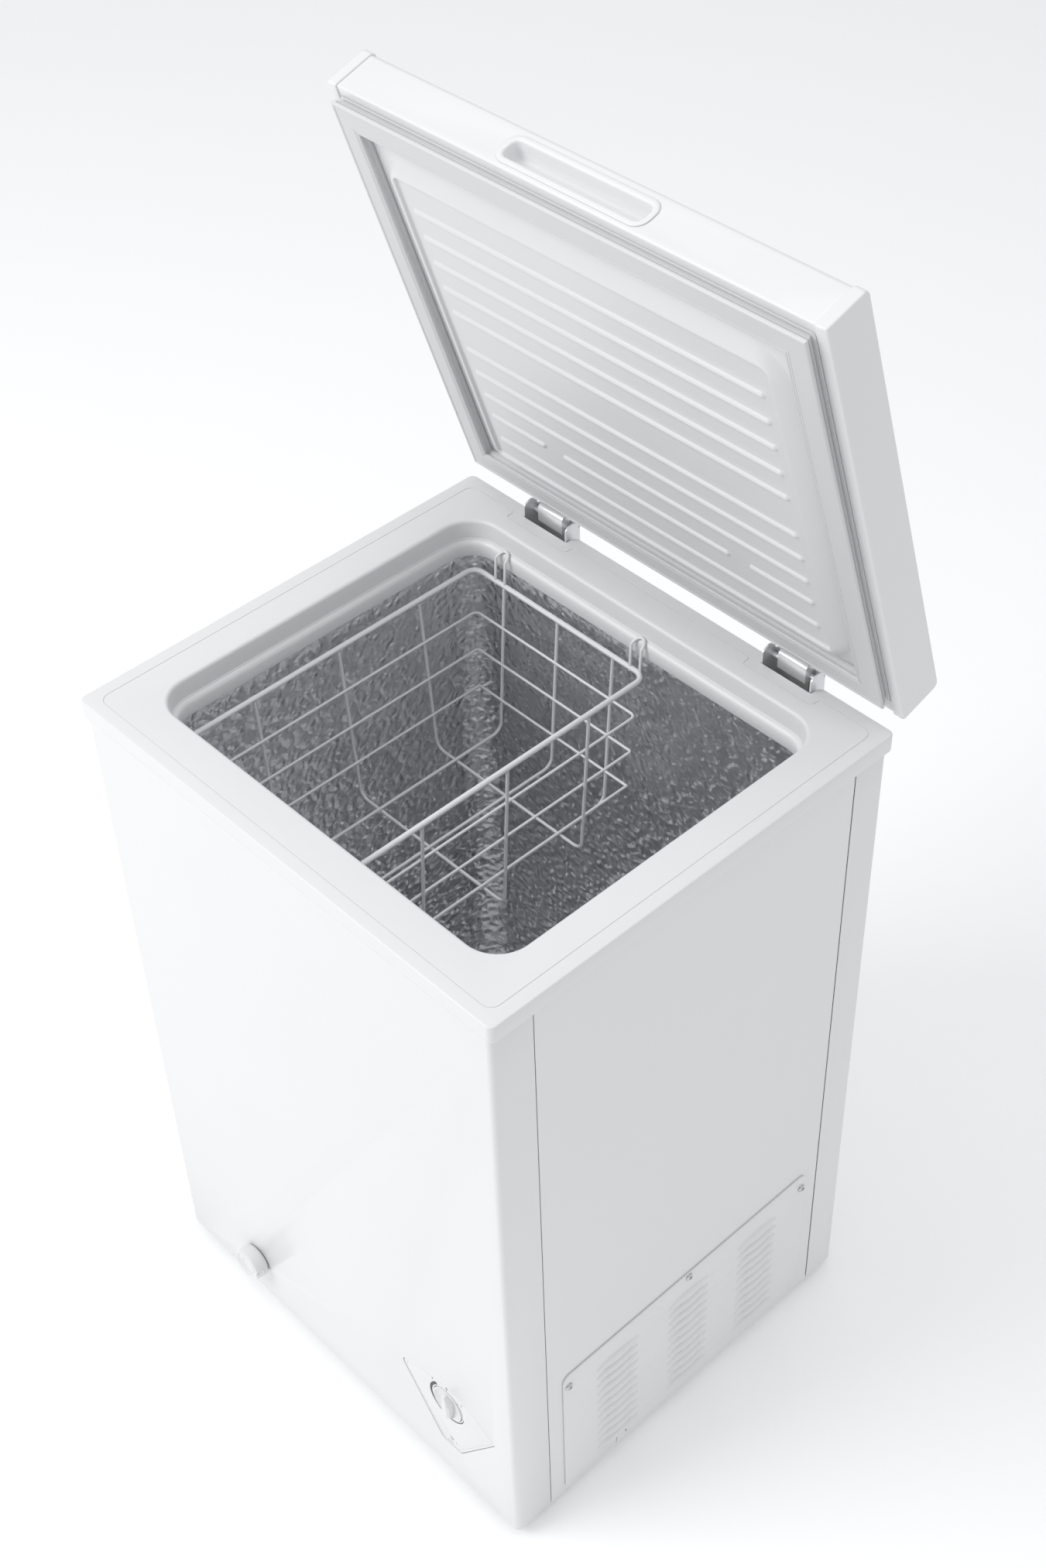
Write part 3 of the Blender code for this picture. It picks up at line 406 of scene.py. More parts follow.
# ---------------------------------------------------------------- collar
# One moulded frame of white plastic closes the top: a flat rim with a fine groove, a skirt over the
# sheets, notches for the hinges, and inside a sloped face with a narrow rounded ledge.
moulded = finish("white_plastic", (0.80, 0.805, 0.81), 0.33, tint=0.012,
                 grain=((6.0, 0.0005), (900.0, 0.00002)))
outer = (-0.27225, 0.27225, middle - 0.23955, middle + 0.23955)


def ring(rect, d, r, z, steps=16):
    return [(x, y, z) for x, y in rounded(*inset(rect, d), max(r - d, 0.0008), steps)]


def profile(rect, r, pairs, z):
    """Rings of a moulding whose section is given as (distance inwards, distance down)."""
    return [ring(rect, d, r, z - down) for d, down in pairs]


skirt = [(0.0075, 0.0192), (0.0022, 0.0192), (0.0008, 0.0188), (0.0002, 0.0180), (0, 0.0165), (0, 0.0016),
         (0.0003, 0.0007), (0.0009, 0.0002), (0.0018, 0)]
mouth = [(-0.0036, 0), (-0.0026, 0.0002), (-0.0014, 0.0008), (-0.0005, 0.0018), (0, 0.0034),
         (0.0010, 0.0200), (0.0017, 0.0204), (0.0017, 0.0209), (0.0012, 0.0212), (0.0024, 0.0216),
         (0.0040, 0.0226), (0.0052, 0.0242), (0.0060, 0.0266), (0.0060, 0.0372), (0.0056, 0.0380),
         (0.0030, 0.0380), (0.0030, 0.0268), (-0.0016, 0.0225), (-0.0026, 0.0026)]
rings = profile(outer, 0.007, skirt, rim) + profile(opening, opening_r, mouth, rim)
rings += profile(outer, 0.007, [(0.0050, 0.0026)], rim)


def groove_line(d):
    """Plan of the fine groove: it runs near the outer edge and steps in round each hinge."""
    x1, y0, y1 = 0.2586 - d, middle - 0.2265 + d, middle + 0.2262 - d
    jog = middle + 0.2150 - d
    corners = [(-x1, y0, 0.010), (x1, y0, 0.010), (x1, y1, 0.010)]
    for sign in (1, -1):
        spans = sorted((hinge_x + s * (hinge_half + 0.011 + d) for s in (-1, 1)), reverse=sign > 0)
        a, b = sign * spans[0], sign * spans[1]
        corners += [(a, y1, 0.004), (a, jog, 0.004), (b, jog, 0.004), (b, y1, 0.004)]
    return filleted(corners + [(-x1, y1, 0.010)], 8)


groove_section = ((0, 0.001), (0.0001, -0.0006), (0.0008, -0.0006), (0.0009, 0.001))
groove = lofted([(groove_line(d), rim + lift) for d, lift in groove_section], loop=True)
collar = solid("collar_moulding", skinned(rings, loop=True), moulded, angle=50,
               cutters=[hinge_notch(-hinge_x), hinge_notch(hinge_x), groove])
fit(collar, "cabinet", "white_plastic", "collar")


# ---------------------------------------------------------------- machine compartment
# Behind the vents: a welded black compressor on rubber grommets, copper lines, a drier, the
# thermostat and relay boxes with their leads, and pale poured foam round the tub.
foam = finish("poured_foam", (0.78, 0.77, 0.73), 0.88, tint=0.06, patch=25.0, grain=((350.0, 0.0008),))
black_paint = finish("black_paint", (0.018, 0.018, 0.019), 0.36, tint=0.2, grain=((250.0, 0.0001),))
black_plastic = finish("black_plastic", (0.028, 0.028, 0.030), 0.48, tint=0.15,
                       grain=((1200.0, 0.00002),))
copper = finish("copper_tube", (0.72, 0.36, 0.20), 0.30, metallic=1.0, tint=0.10, patch=35.0)
clear = finish("clear_lens", (0.66, 0.69, 0.68), 0.10, tint=0.03, coat=0.5)
dress(foam, "tub_insulation")
dress(zinc, "compartment_shield")
dress(black_paint, "compressor")
dress(black_plastic, "relay_box", "thermostat_body", "supply_lead", "thermostat_lead")
dress(copper, "filter_drier", "condenser_coil", "discharge_tube", "capillary_tube", "evaporator_coil",
      "suction_tube", "thermostat_sensor")
dress(rubber, *[f"compressor_grommet_{i}" for i in (1, 2, 3, 4)], "cable_gland", "drain_plug")
dress(moulded, "drain_tube")
dress(clear, "indicator_lens")


# ---------------------------------------------------------------- vent cover
# A painted steel cover closes the machine compartment on the right: three banks of eleven arched
# louvres, a round knock-out at the foot backed by painted shadow, three domed screws along its top.
def new_tree(name, inputs):
    """Node tree with a mesh, its other inputs as (name, kind) and a finish."""
    tree = bpy.data.node_groups.new(name, "GeometryNodeTree")
    for label, kind in (("Geometry", "Geometry"), *inputs, ("Finish", "Material")):
        tree.interface.new_socket(label, in_out="INPUT", socket_type="NodeSocket" + kind)
    tree.interface.new_socket("Geometry", in_out="OUTPUT", socket_type="NodeSocketGeometry")
    return tree, tree.nodes.new("NodeGroupInput")


def closed_off(tree, given, result):
    """End of a node tree: the result made real and given its finish."""
    real = tree.nodes.new("GeometryNodeRealizeInstances")
    tree.links.new(result, real.inputs["Geometry"])
    paint = tree.nodes.new("GeometryNodeSetMaterial")
    tree.links.new(real.outputs["Geometry"], paint.inputs["Geometry"])
    tree.links.new(given.outputs["Finish"], paint.inputs["Material"])
    out = tree.nodes.new("NodeGroupOutput")
    tree.links.new(paint.outputs["Geometry"], out.inputs["Geometry"])
    return tree


def lined_up():
    """Node tree that repeats a shape in columns and rows."""
    tree, given = new_tree("columns_and_rows", (("Shape", "Object"), ("Columns", "Int"), ("Rows", "Int"),
                                                ("Column step", "Vector"), ("Row step", "Vector")))
    lines = []
    for count, step in (("Columns", "Column step"), ("Rows", "Row step")):
        line = tree.nodes.new("GeometryNodeMeshLine")
        tree.links.new(given.outputs[count], line.inputs["Count"])
        tree.links.new(given.outputs[step], line.inputs["Offset"])
        lines.append(line)
    spread = tree.nodes.new("GeometryNodeInstanceOnPoints")
    tree.links.new(lines[0].outputs["Mesh"], spread.inputs["Points"])
    tree.links.new(lines[1].outputs["Mesh"], spread.inputs["Instance"])
    points = tree.nodes.new("GeometryNodeRealizeInstances")
    tree.links.new(spread.outputs["Instances"], points.inputs["Geometry"])
    shape = tree.nodes.new("GeometryNodeObjectInfo")
    tree.links.new(given.outputs["Shape"], shape.inputs["Object"])
    place = tree.nodes.new("GeometryNodeInstanceOnPoints")
    tree.links.new(points.outputs["Geometry"], place.inputs["Points"])
    tree.links.new(shape.outputs["Geometry"], place.inputs["Instance"])
    return closed_off(tree, given, place.outputs["Instances"])


def grown(obj, tree, **values):
    """Mesh that a node tree makes of obj, its inputs given by name."""
    mod = obj.modifiers.new(tree.name, "NODES")
    mod.node_group = tree
    for item in tree.interface.items_tree:
        if item.in_out == "INPUT" and item.name.replace(" ", "_") in values:
            mod[item.identifier] = values[item.name.replace(" ", "_")]
    return baked(obj)


columns_and_rows = lined_up()


def repeated(shape, columns, rows, column_step, row_step):
    """Rows and columns of a shape in one mesh; the shape itself goes."""
    name, surface = shape.name, shape.data.materials[0]
    shape.name = f"{name}_one"
    start = placed(name, bpy.data.meshes.new(name))
    done = grown(start, columns_and_rows, Shape=shape, Columns=columns, Rows=rows, Column_step=column_step,
                 Row_step=row_step, Finish=surface)
    bpy.data.objects.remove(shape)
    return done


cover_low, cover_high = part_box("vent_cover")
cover_x = cover_high.x
louvre_y, louvre_z = (-0.0972 + middle, 0.0037 + middle, 0.1045 + middle), 0.0418
louvre_half, louvre_step = 0.0288, 0.01435


def lens_shape(y, z, half, rise, drop):
    """Pointed slot outline: two shallow arcs, one above and one below."""
    spread = [i / 4 - 1 for i in range(8)]
    top = [(y - half * s, z + rise * (1 - s * s)) for s in spread]
    return top + [(y + half * s, z - drop * (1 - s * s)) for s in spread]


slots = bmesh.new()
for y in louvre_y:
    for row in range(11):
        prism(lens_shape(y, louvre_z + louvre_step * row, 0.0268, 0.0010, 0.0026), 0.25, 0.29, "x", slots)
outline = filleted([(cover_low.y, cover_low.z, 0.002), (cover_high.y, cover_low.z, 0.002),
                    (cover_high.y, cover_high.z, 0.010), (cover_low.y, cover_high.z, 0.010)], 10)


def arched(half, z0, z1):
    """Outline of the knock-out: flat foot and round head."""
    y, r = middle - 0.0912, half * 0.98
    y0, y1 = y - half, y + half
    return filleted([(y0, z0, 0.001), (y1, z0, 0.001), (y1, z1, r), (y0, z1, r)], 10)


knock_out = prism(arched(0.0072, 0.0192, 0.0368), 0.26, 0.28, "x")
cover = solid("vent_cover_sheet", prism(outline, half_w - 0.0004, cover_x, "x"), white_paint, edge=0.0005,
              cutters=[slots, knock_out])
fit(cover, "cabinet", "white_paint", "vent_cover")

# Section of a louvre: outwards, outwards with the bulge, upwards with the bulge, upwards.
hood_section = ((-0.0001, 0, 0.0056, 0.0006), (0.0001, 0.0012, 0.0042, 0), (0.0002, 0.0026, 0.0012, 0),
                (0.0003, 0.0034, -0.0034, 0), (0.0003, 0.0026, -0.0036, 0), (0.0002, 0.0016, 0.0006, 0),
                (-0.0001, 0, 0.0034, 0))
hood = []
for s in [i / 9 - 1 for i in range(19)]:
    bulge = max(1 - s * s, 0.0) ** 0.8
    y = louvre_y[0] + louvre_half * s
    hood.append([(cover_x + out + swell * bulge, y, louvre_z + rise * bulge + lift)
                 for out, swell, rise, lift in hood_section])
hood = solid("vent_louvres", skinned(hood), white_paint, angle=50)
hoods = repeated(hood, 3, 11, (0, louvre_y[1] - louvre_y[0], 0), (0, 0, louvre_step))
hoods.data.shade_smooth()
fit(hoods, "cabinet", "white_paint")

flap = prism(arched(0.0066, 0.0198, 0.0322), cover_x - 0.0009, cover_x - 0.0001, "x")
fit(solid("vent_knock_out", flap, white_paint, edge=0.0003), "cabinet", "white_paint")
# A black sheet behind the knock-out is painted shadow: it stands in for the dark depth of an open hole.
painted_shade_pad = prism(arched(0.0070, 0.0194, 0.0366), half_w - 0.00035, cover_x - 0.0011, "x")
fit(solid("vent_blanking_pad", painted_shade_pad, rubber), "cabinet", "rubber")


def turned(profile, u, v, axis="z", steps=40):
    """Turned solid from (radius, w) pairs about an axis through (u, v)."""
    rings = []
    for r, w in profile:
        rings.append([at(axis, u + r * math.cos(a), v + r * math.sin(a), w) for a in
                      [2 * math.pi * i / steps for i in range(steps)]])
    return skinned(rings)


def screw(name, u, v, axis, seat, end, r, slot):
    """Domed cross-head screw whose head stands on `seat` and whose shank ends at `end`."""
    way = math.copysign(1, seat - end)
    head = [(0.4125 * r, end), (0.42 * r, seat - way * 0.0002), (r, seat)]
    head += [(wide * r, seat + way * rise * r) for wide, rise in
             ((0.99, 0.14), (0.86, 0.33), (0.62, 0.46), (0.3, 0.53), (0.05, 0.55))]
    crosses = []
    for w, h in ((0.58 * r, 0.12 * r), (0.12 * r, 0.58 * r)):
        plan = rectangle(u - w, u + w, v - h, v + h)
        crosses.append(prism(plan, *sorted((seat + way * 0.25 * r, seat + way * r)), axis))
    return fit(solid(name, turned(head, u, v, axis, 28), plated, cutters=crosses), "cabinet", slot)


for i in (1, 2, 3):
    low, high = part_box(f"vent_screw_{i}")
    one = screw(f"vent_screw_head_{i}", (low.y + high.y) / 2, (low.z + high.z) / 2, "x",
                cover_x + 0.0003, low.x, 0.0044, "zinc_steel")
    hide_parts(f"vent_screw_{i}")


# ---------------------------------------------------------------- control panel
# A white shield-shaped moulding set into the front: a round dish holds the thermostat knob, with a
# printed wedge that thins as the setting falls, numbers at its ends, and a lamp near the foot.
panel_y = panel_low.y
rim_section = ((0.0022, -0.001), (0.0022, 0.0004), (0.0026, 0.0004), (0.0026, -0.001))
rim_line = lofted([(shield(-d), panel_y + deep) for d, deep in rim_section], "y", loop=True)
lamp_low, lamp_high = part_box("indicator_lens")
lamp_x, lamp_z = (lamp_low.x + lamp_high.x) / 2, (lamp_low.z + lamp_high.z) / 2
panel = solid("control_panel_shield", prism(shield(), panel_y, panel_high.y, "y"), moulded, edge=0.0005,
              cutters=[rod(dial_x, dial_z, 0.0214, panel_y - 0.01, panel_y + 0.0055, "y", 72),
                       rod(dial_x, dial_z, 0.0036, panel_y - 0.01, panel_y + 0.02, "y"),
                       rod(lamp_x, lamp_z, 0.0027, panel_y - 0.01, panel_y + 0.02, "y"), rim_line])
fit(panel, "cabinet", "white_plastic", "control_panel")

ink = finish("grey_print", (0.06, 0.06, 0.065), 0.5, tint=0.05)
print_y = (panel_y - 0.00012, panel_y - 0.00002)
outside, inside, wedge_steps = [], [], 40
for i in range(wedge_steps + 1):
    a = math.radians(128 + 222 * i / wedge_steps)
    far, near = 0.0236 + 0.0032 * (1 - i / wedge_steps) ** 0.7, 0.0231
    outside.append((dial_x + far * math.cos(a), dial_z + far * math.sin(a)))
    inside.append((dial_x + near * math.cos(a), dial_z + near * math.sin(a)))
wedge = prism(outside + inside[::-1], *print_y, "y")
for a in (48, 90):
    ray = Vector((math.cos(math.radians(a)), math.sin(math.radians(a))))
    side = Vector((-ray.y, ray.x)) * 0.00025
    tick = [Vector((dial_x, dial_z)) + ray * r + s * side for r, s in
            ((0.0228, 1), (0.0228, -1), (0.0244, -1), (0.0244, 1))]
    prism([tuple(p) for p in tick], *print_y, "y", wedge)
fit(solid("dial_markings", wedge, ink), "cabinet", "white_plastic")


def number(text, x, z, size):
    """A printed number, as a thin closed mesh on the face of the panel."""
    letters = bpy.data.curves.new(f"number_{text}", "FONT")
    letters.body, letters.size, letters.extrude = text, size, 0.00005
    letters.align_x, letters.align_y = "CENTER", "CENTER"
    flat = baked(placed(f"number_{text}", letters))
    upright = Matrix.Rotation(math.pi / 2, 4, "X")
    flat.data.transform(Matrix.Translation((x, sum(print_y) / 2, z)) @ upright)
    fit(solid(f"dial_number_{text}", loosened(flat), ink), "cabinet", "white_plastic")


for text, x, z in (("7", -0.0215, 0.0212), ("0", 0.0, 0.0268), ("1", 0.0215, 0.0208)):
    number(text, dial_x + x, dial_z + z, 0.0058)
dots = rod(lamp_x + 0.0066, lamp_z - 0.0015, 0.0009, *print_y, "y", 16)
for i in range(4):
    x = lamp_x - 0.0062 + 0.0022 * i
    prism(rectangle(x, x + 0.0012, lamp_z - 0.0085, lamp_z - 0.0073), *print_y, "y", dots)
faint = finish("faint_print", (0.42, 0.42, 0.43), 0.5, tint=0.05)
fit(solid("lamp_markings", dots, faint), "cabinet", "white_plastic")

face = panel_y - 0.0015
knob_rings = [(0.0030, knob_high.y), (0.0030, panel_y + 0.0052), (0.0196, panel_y + 0.0052),
              (0.0204, panel_y + 0.0040), (0.0206, face + 0.0012), (0.0204, face + 0.0004),
              (0.0198, face), (0.0190, face + 0.0002), (0.0172, face + 0.0022), (0.0130, face + 0.0037),
              (0.0070, face + 0.0042), (0.0005, face + 0.0043)]
blade = filleted([(-0.0062, -0.0182, 0.0022), (0.0062, -0.0182, 0.0022), (0.0052, 0.0010, 0.004),
                  (0.0020, 0.0188, 0.0015), (-0.0020, 0.0188, 0.0015), (-0.0052, 0.0010, 0.004)], 5)
blade_levels = ((1, 1, face + 0.0048), (1, 1, face - 0.0020), (0.72, 0.95, knob_low.y + 0.0046),
                (0.60, 0.92, knob_low.y + 0.0040))
blade = lofted([([(dial_x + x * wide, dial_z + z * tall) for x, z in blade], y)
                for wide, tall, y in blade_levels], "y")
dial_white = finish("white_dial", (0.80, 0.805, 0.81), 0.30, tint=0.012, grain=((900.0, 0.00002),))
knob = solid("thermostat_knob_moulding", turned(knob_rings, dial_x, dial_z, "y", 72), dial_white,
             adds=[blade], edge=0.0004)
fit(knob, "dial", "white_dial", "thermostat_knob")


# ---------------------------------------------------------------- drain cap
# A round push-on cap covers the defrost drain at the front: a raised rim, a dished face with a
# ring in it, and a small pull tab with a finger hollow on its right.
y = cap_low.y
cap_rings = [(0.0055, cap_high.y), (0.0060, cap_high.y - 0.0010), (0.0060, front_y - 0.0003),
             (0.0150, front_y - 0.0003), (0.0164, front_y - 0.0006), (0.0182, front_y - 0.0020),
             (0.0190, front_y - 0.0040)]
cap_rings += [(r, y + deep) for r, deep in
              ((0.0192, 0.0022), (0.0190, 0.0010), (0.0184, 0.0003), (0.0176, 0), (0.0166, 0.0002),
               (0.0158, 0.0009), (0.0148, 0.0017), (0.0110, 0.0020), (0.0104, 0.0014), (0.0096, 0.0012),
               (0.0090, 0.0020), (0.0060, 0.0026), (0.0005, 0.0028))]
tab = filleted([(0.0150, -0.0045, 0.001), (0.0215, -0.0035, 0.0025), (0.0215, 0.0035, 0.0025),
                (0.0150, 0.0045, 0.001)])
tab = prism([(drain_x + u, drain_z + v) for u, v in tab], y + 0.0060, y + 0.0085, "y")
hollow = rod(drain_x + 0.0190, drain_z, 0.0042, y - 0.001, y + 0.0042, "y", 28)
cap = solid("drain_cap_moulding", turned(cap_rings, drain_x, drain_z, "y", 64), moulded, adds=[tab],
            cutters=[hollow], edge=0.0003)
fit(cap, "outer_cap", "white_plastic", "drain_cap")


# ---------------------------------------------------------------- hinges
# Two sprung hinges on the back: a bent zinc housing screwed to the back sheet, a plated leaf that
# carries the lid, a steel pin flush in the cheeks of the housing and a coil spring wound round it.
pin_r, cheek, leaf_sheet, coil_r = 0.0025, 0.0016, 0.0014, 0.00345
housing_face, housing_back = middle + 0.2369, middle + 0.2477
housing_foot, housing_top = rim - 0.0750, rim - 0.0245
screw_z, screw_out = rim - 0.049, 0.0065
bright = finish("chrome", (0.92, 0.92, 0.93), 0.30, metallic=0.6, tint=0.03, patch=50.0, wear=0.02)
lid_open = (Matrix.Translation((0, hinge_y, hinge_z)) @ Matrix.Rotation(-math.radians(72.3), 4, "X")
            @ Matrix.Translation((0, -hinge_y, -hinge_z)))
side_line = filleted([(middle + 0.2270, housing_top, 0.001), (middle + 0.2270, rim + 0.0130, 0.004),
                      (middle + 0.2377, rim + 0.0176, 0.006), (housing_back, rim + 0.0080, 0.003),
                      (housing_back, housing_foot, 0.003), (housing_face, housing_foot, 0.001),
                      (housing_face, housing_top, 0.001)], 6)


def wires():
    """Node tree that turns edge paths into round wire."""
    tree, given = new_tree("round_wire", (("Radius", "Float"), ("Sides", "Int")))
    path = tree.nodes.new("GeometryNodeMeshToCurve")
    tree.links.new(given.outputs["Geometry"], path.inputs["Mesh"])
    ring = tree.nodes.new("GeometryNodeCurvePrimitiveCircle")
    tree.links.new(given.outputs["Radius"], ring.inputs["Radius"])
    tree.links.new(given.outputs["Sides"], ring.inputs["Resolution"])
    body = tree.nodes.new("GeometryNodeCurveToMesh")
    body.inputs["Fill Caps"].default_value = True
    tree.links.new(path.outputs["Curve"], body.inputs["Curve"])
    tree.links.new(ring.outputs["Curve"], body.inputs["Profile Curve"])
    return closed_off(tree, given, body.outputs["Mesh"])


round_wire = wires()


def wire(name, paths, r, surface, sides=10):
    """Round wire along each path; a path whose last point is its first is a closed ring."""
    points, edges = [], []
    for path in paths:
        shut = (Vector(path[0]) - Vector(path[-1])).length < 1e-6
        own = path[:-1] if shut else path
        first = len(points)
        points += own
        edges += [(first + i, first + i + 1) for i in range(len(own) - 1)]
        if shut:
            edges.append((first + len(own) - 1, first))
    mesh = bpy.data.meshes.new(name)
    mesh.from_pydata(points, edges, [])
    drawn = grown(placed(name, mesh), round_wire, Radius=r, Sides=sides, Finish=surface)
    return solid(name, loosened(drawn), surface, angle=60)


def around(points):
    """Corners given from the hinge pin."""
    return [(hinge_y + u, hinge_z + v, r) for u, v, r in points]


leaf_line = filleted(around([(-0.0074, -0.0046, 0), (-0.0074, 0.0122, 0.004), (0.0032, 0.0183, 0)]), 8,
                     closed=False)
ear_line = filleted(around([(-0.0069, -0.0043, 0.001), (-0.0030, -0.0048, 0.003), (0.0032, -0.0036, 0.0034),
                            (0.0039, 0.0026, 0.002), (0.0022, 0.0140, 0.003), (-0.0069, 0.0112, 0.003)]), 5)
for label, x in (("left", -hinge_x), ("right", hinge_x)):
    w = hinge_half
    walls = [(x - w, middle + 0.220, 0), (x - w, housing_back, 0.003), (x + w, housing_back, 0.003),
             (x + w, middle + 0.220, 0)]
    channel = folded(filleted(walls, 5, closed=False)[::-1], cheek)
    flanges = []
    for sign in (-1, 1):
        x0, x1 = sorted((x + sign * (w - 0.0012), x + sign * (w + 0.013)))
        r0, r1 = (0.001, 0.003) if sign > 0 else (0.003, 0.001)
        z0, z1 = rim - 0.070, rim - 0.028
        plan = filleted([(x0, z0, r0), (x1, z0, r1), (x1, z1, r1), (x0, z1, r0)])
        flanges.append(prism(plan, housing_face, middle + 0.2385, "y"))
    above = box(x - w - 0.01, x + w + 0.01, middle + 0.2440, middle + 0.26, rim + 0.0078, rim + 0.03)
    floor_bar = box(x - w + 0.001, x + w - 0.001, housing_face, housing_back - 0.0010, housing_foot,
                    rim - 0.0734)
    pin_hole = rod(hinge_y, hinge_z, pin_r + 0.0003, x - w + 0.0007, x + w - 0.0007, "x")
    screw_holes = [rod(x + sign * (w + screw_out), screw_z, 0.0020, middle + 0.22, middle + 0.26, "y")
                   for sign in (-1, 1)]
    housing = solid(f"hinge_housing_{label}_sheet", prism(channel, rim - 0.080, rim + 0.020), zinc,
                    edge=0.0004, keep=prism(side_line, x - w - 0.001, x + w + 0.001, "x"),
                    adds=[*flanges, floor_bar], cutters=[above, pin_hole, *screw_holes])
    fit(housing, "cabinet", "zinc_steel", f"hinge_housing_{label}")

    bar = turned([(pin_r, x - w + 0.0009), (pin_r, x + w - 0.0009)], hinge_y, hinge_z, "x", 24)
    fit(solid(f"hinge_pin_{label}_bar", bar, bright), "cabinet", "chrome", f"hinge_pin_{label}")

    low, high = x - 0.0165, x + 0.0165
    ears = [prism(ear_line, x0, x0 + leaf_sheet, "x") for x0 in (low, high - leaf_sheet)]
    leaf = solid(f"hinge_leaf_{label}_plate", prism(folded(leaf_line[::-1], leaf_sheet), low, high, "x"),
                 bright, edge=0.0003, adds=ears,
                 cutters=[rod(hinge_y, hinge_z, pin_r + 0.0003, x - 0.03, x + 0.03, "x")])
    fit(leaf, "lid", "chrome", f"hinge_leaf_{label}")

    turns, per_turn = 7, 18
    coil = []
    for i in range(turns * per_turn + 1):
        a = 2 * math.pi * i / per_turn
        coil.append((x - 0.011 + 0.022 * i / (turns * per_turn), hinge_y + coil_r * math.cos(a),
                     hinge_z - coil_r * math.sin(a)))
    coil += [(x + 0.0112, hinge_y + coil_r, hinge_z - down) for down in (0.0060, 0.0300)]
    spring = wire(f"hinge_spring_{label}_coil", [coil], 0.00055, zinc, 8)
    fit(spring, "cabinet", "zinc_steel", f"hinge_spring_{label}")
    for i, sign in ((1, -1), (2, 1)):
        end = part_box(f"hinge_screw_{label}_{i}")[0].y
        one = screw(f"hinge_screw_{label}_head_{i}", x + sign * (w + screw_out), screw_z, "y",
                    middle + 0.2388, end, 0.0036, "zinc_steel")
        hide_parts(f"hinge_screw_{label}_{i}")


# ---------------------------------------------------------------- lid shell
# The lid is a shallow box of gloss white sheet, rolled over at front and back, with a moulded cap
# plugged into each end; a white pocket let into its front edge is the hand grip.
lid_front, lid_back, lid_top = middle - 0.24155, middle + 0.23665, rim + 0.0569
lid_low = lid_top - 0.0447
lid_half, lid_corner, cap_w = 0.2729, 0.006, 0.012
skin_half = lid_half - cap_w - 0.0003


def lid_outline(grow=0.0):
    """Side outline of the lid in (y, z), open along its underside."""
    y0, y1, z0, z1 = lid_front - grow, lid_back + grow, lid_low - grow, lid_top + grow
    corners = [(y1 - 0.017, z0, 0), (y1, z0, 0.002), (y1, z1, lid_corner), (y0, z1, lid_corner),
               (y0, z0, 0.002), (y0 + 0.017, z0, 0)]
    return filleted(corners, 10, closed=False)


grip_x, grip_z = 0.003, lid_top - 0.0250


def grip_outline(grow=0.0):
    """Mouth of the hand grip in (x, z)."""
    half_x, half_z = 0.0775 + grow, 0.0110 + grow
    return rounded(grip_x - half_x, grip_x + half_x, grip_z - half_z, grip_z + half_z, 0.008 + grow, 10)


def grip_hole():
    return prism(grip_outline(), lid_front - 0.01, lid_front + 0.019, "y")


def hinge_slots():
    """Slots that let the edges of the hinge housings into the back of the lid."""
    bm = bmesh.new()
    for x in (-hinge_x, hinge_x):
        for edge in (-1, 1):
            u, v = x + edge * (hinge_half - cheek / 2), hinge_y - 0.0235
            prism(rectangle(u - 0.0022, u + 0.0022, v, v + 0.04), hinge_z - 0.02, hinge_z + 0.0175, bm=bm)
    return bm


skin = solid("lid_sheet", prism(folded(lid_outline(), sheet), -skin_half, skin_half, "x"), white_paint,
             edge=0.0003, cutters=[grip_hole(), hinge_slots()], opened=lid_open)
fit(skin, "lid", "white_paint", "lid_skin")

core = (-skin_half, skin_half, lid_front + 0.0013, lid_back - 0.0013)
filling = [ring(core, d, lid_corner, z, 6) for d, z in
           ((0.0052, lid_top - 0.0013), (0, lid_top - 0.0052), (0, lid_low + 0.0025),
            (0.0012, lid_low + 0.0013))]
block = solid("lid_foam", skinned(filling), foam, cutters=[grip_hole(), hinge_slots()], opened=lid_open)
fit(block, "lid", "foam", "lid_insulation")

for label, sign in (("left", -1), ("right", 1)):
    x0, x1 = sign * (lid_half - cap_w), sign * lid_half
    steps = ((0.0004, x0), (0.0010, x0 + sign * 0.0004), (0.0012, x0 + sign * 0.0010),
             (0.0012, x1 - sign * 0.0022), (0.0008, x1 - sign * 0.0010), (0.0001, x1 - sign * 0.0003),
             (-0.0012, x1))
    end = lofted([(lid_outline(grow), x) for grow, x in steps], "x")
    cap = solid(f"lid_cap_{label}_moulding", end, moulded, angle=50, opened=lid_open)
    fit(cap, "lid", "white_plastic", f"lid_cap_{label}")

cup = [(-0.0060, 0.0184), (-0.0040, 0.0180), (-0.0024, 0.0168), (-0.0014, 0.0140), (-0.0005, -0.0003),
       (0.0045, -0.0003), (0.0045, -0.0008), (0.0040, -0.0013), (0.0008, -0.0013), (-0.0004, -0.0010),
       (-0.0012, -0.0003), (-0.0018, 0.0010), (-0.0030, 0.0100), (-0.0040, 0.0132), (-0.0058, 0.0152),
       (-0.0080, 0.0160), (-0.0100, 0.0162)]
pocket = lofted([(grip_outline(d), lid_front + y) for d, y in cup], "y")
pocket = solid("lid_grip_pocket", pocket, moulded, angle=50, opened=lid_open)
fit(pocket, "lid", "white_plastic", "lid_grip")


# ---------------------------------------------------------------- lid lining and gasket
# A vacuum-formed white tray closes the underside, stiffened by a rounded bead frame and ten rows of
# low ribs; round it a soft vinyl gasket with welded mitres is pushed into the edge of the tray.
seal = (-0.2603, 0.2603, lid_front + 0.0083, lid_back - 0.0179)
lining = finish("lid_liner_plastic", (0.74, 0.745, 0.75), 0.36, tint=0.012,
                grain=((5.0, 0.0006), (800.0, 0.00002)))
vinyl = finish("gasket_vinyl", (0.66, 0.665, 0.67), 0.46, tint=0.03, grain=((700.0, 0.00004),))
tray_wall = (-0.2285, 0.2285, lid_back - 0.4300, lid_back - 0.0430)


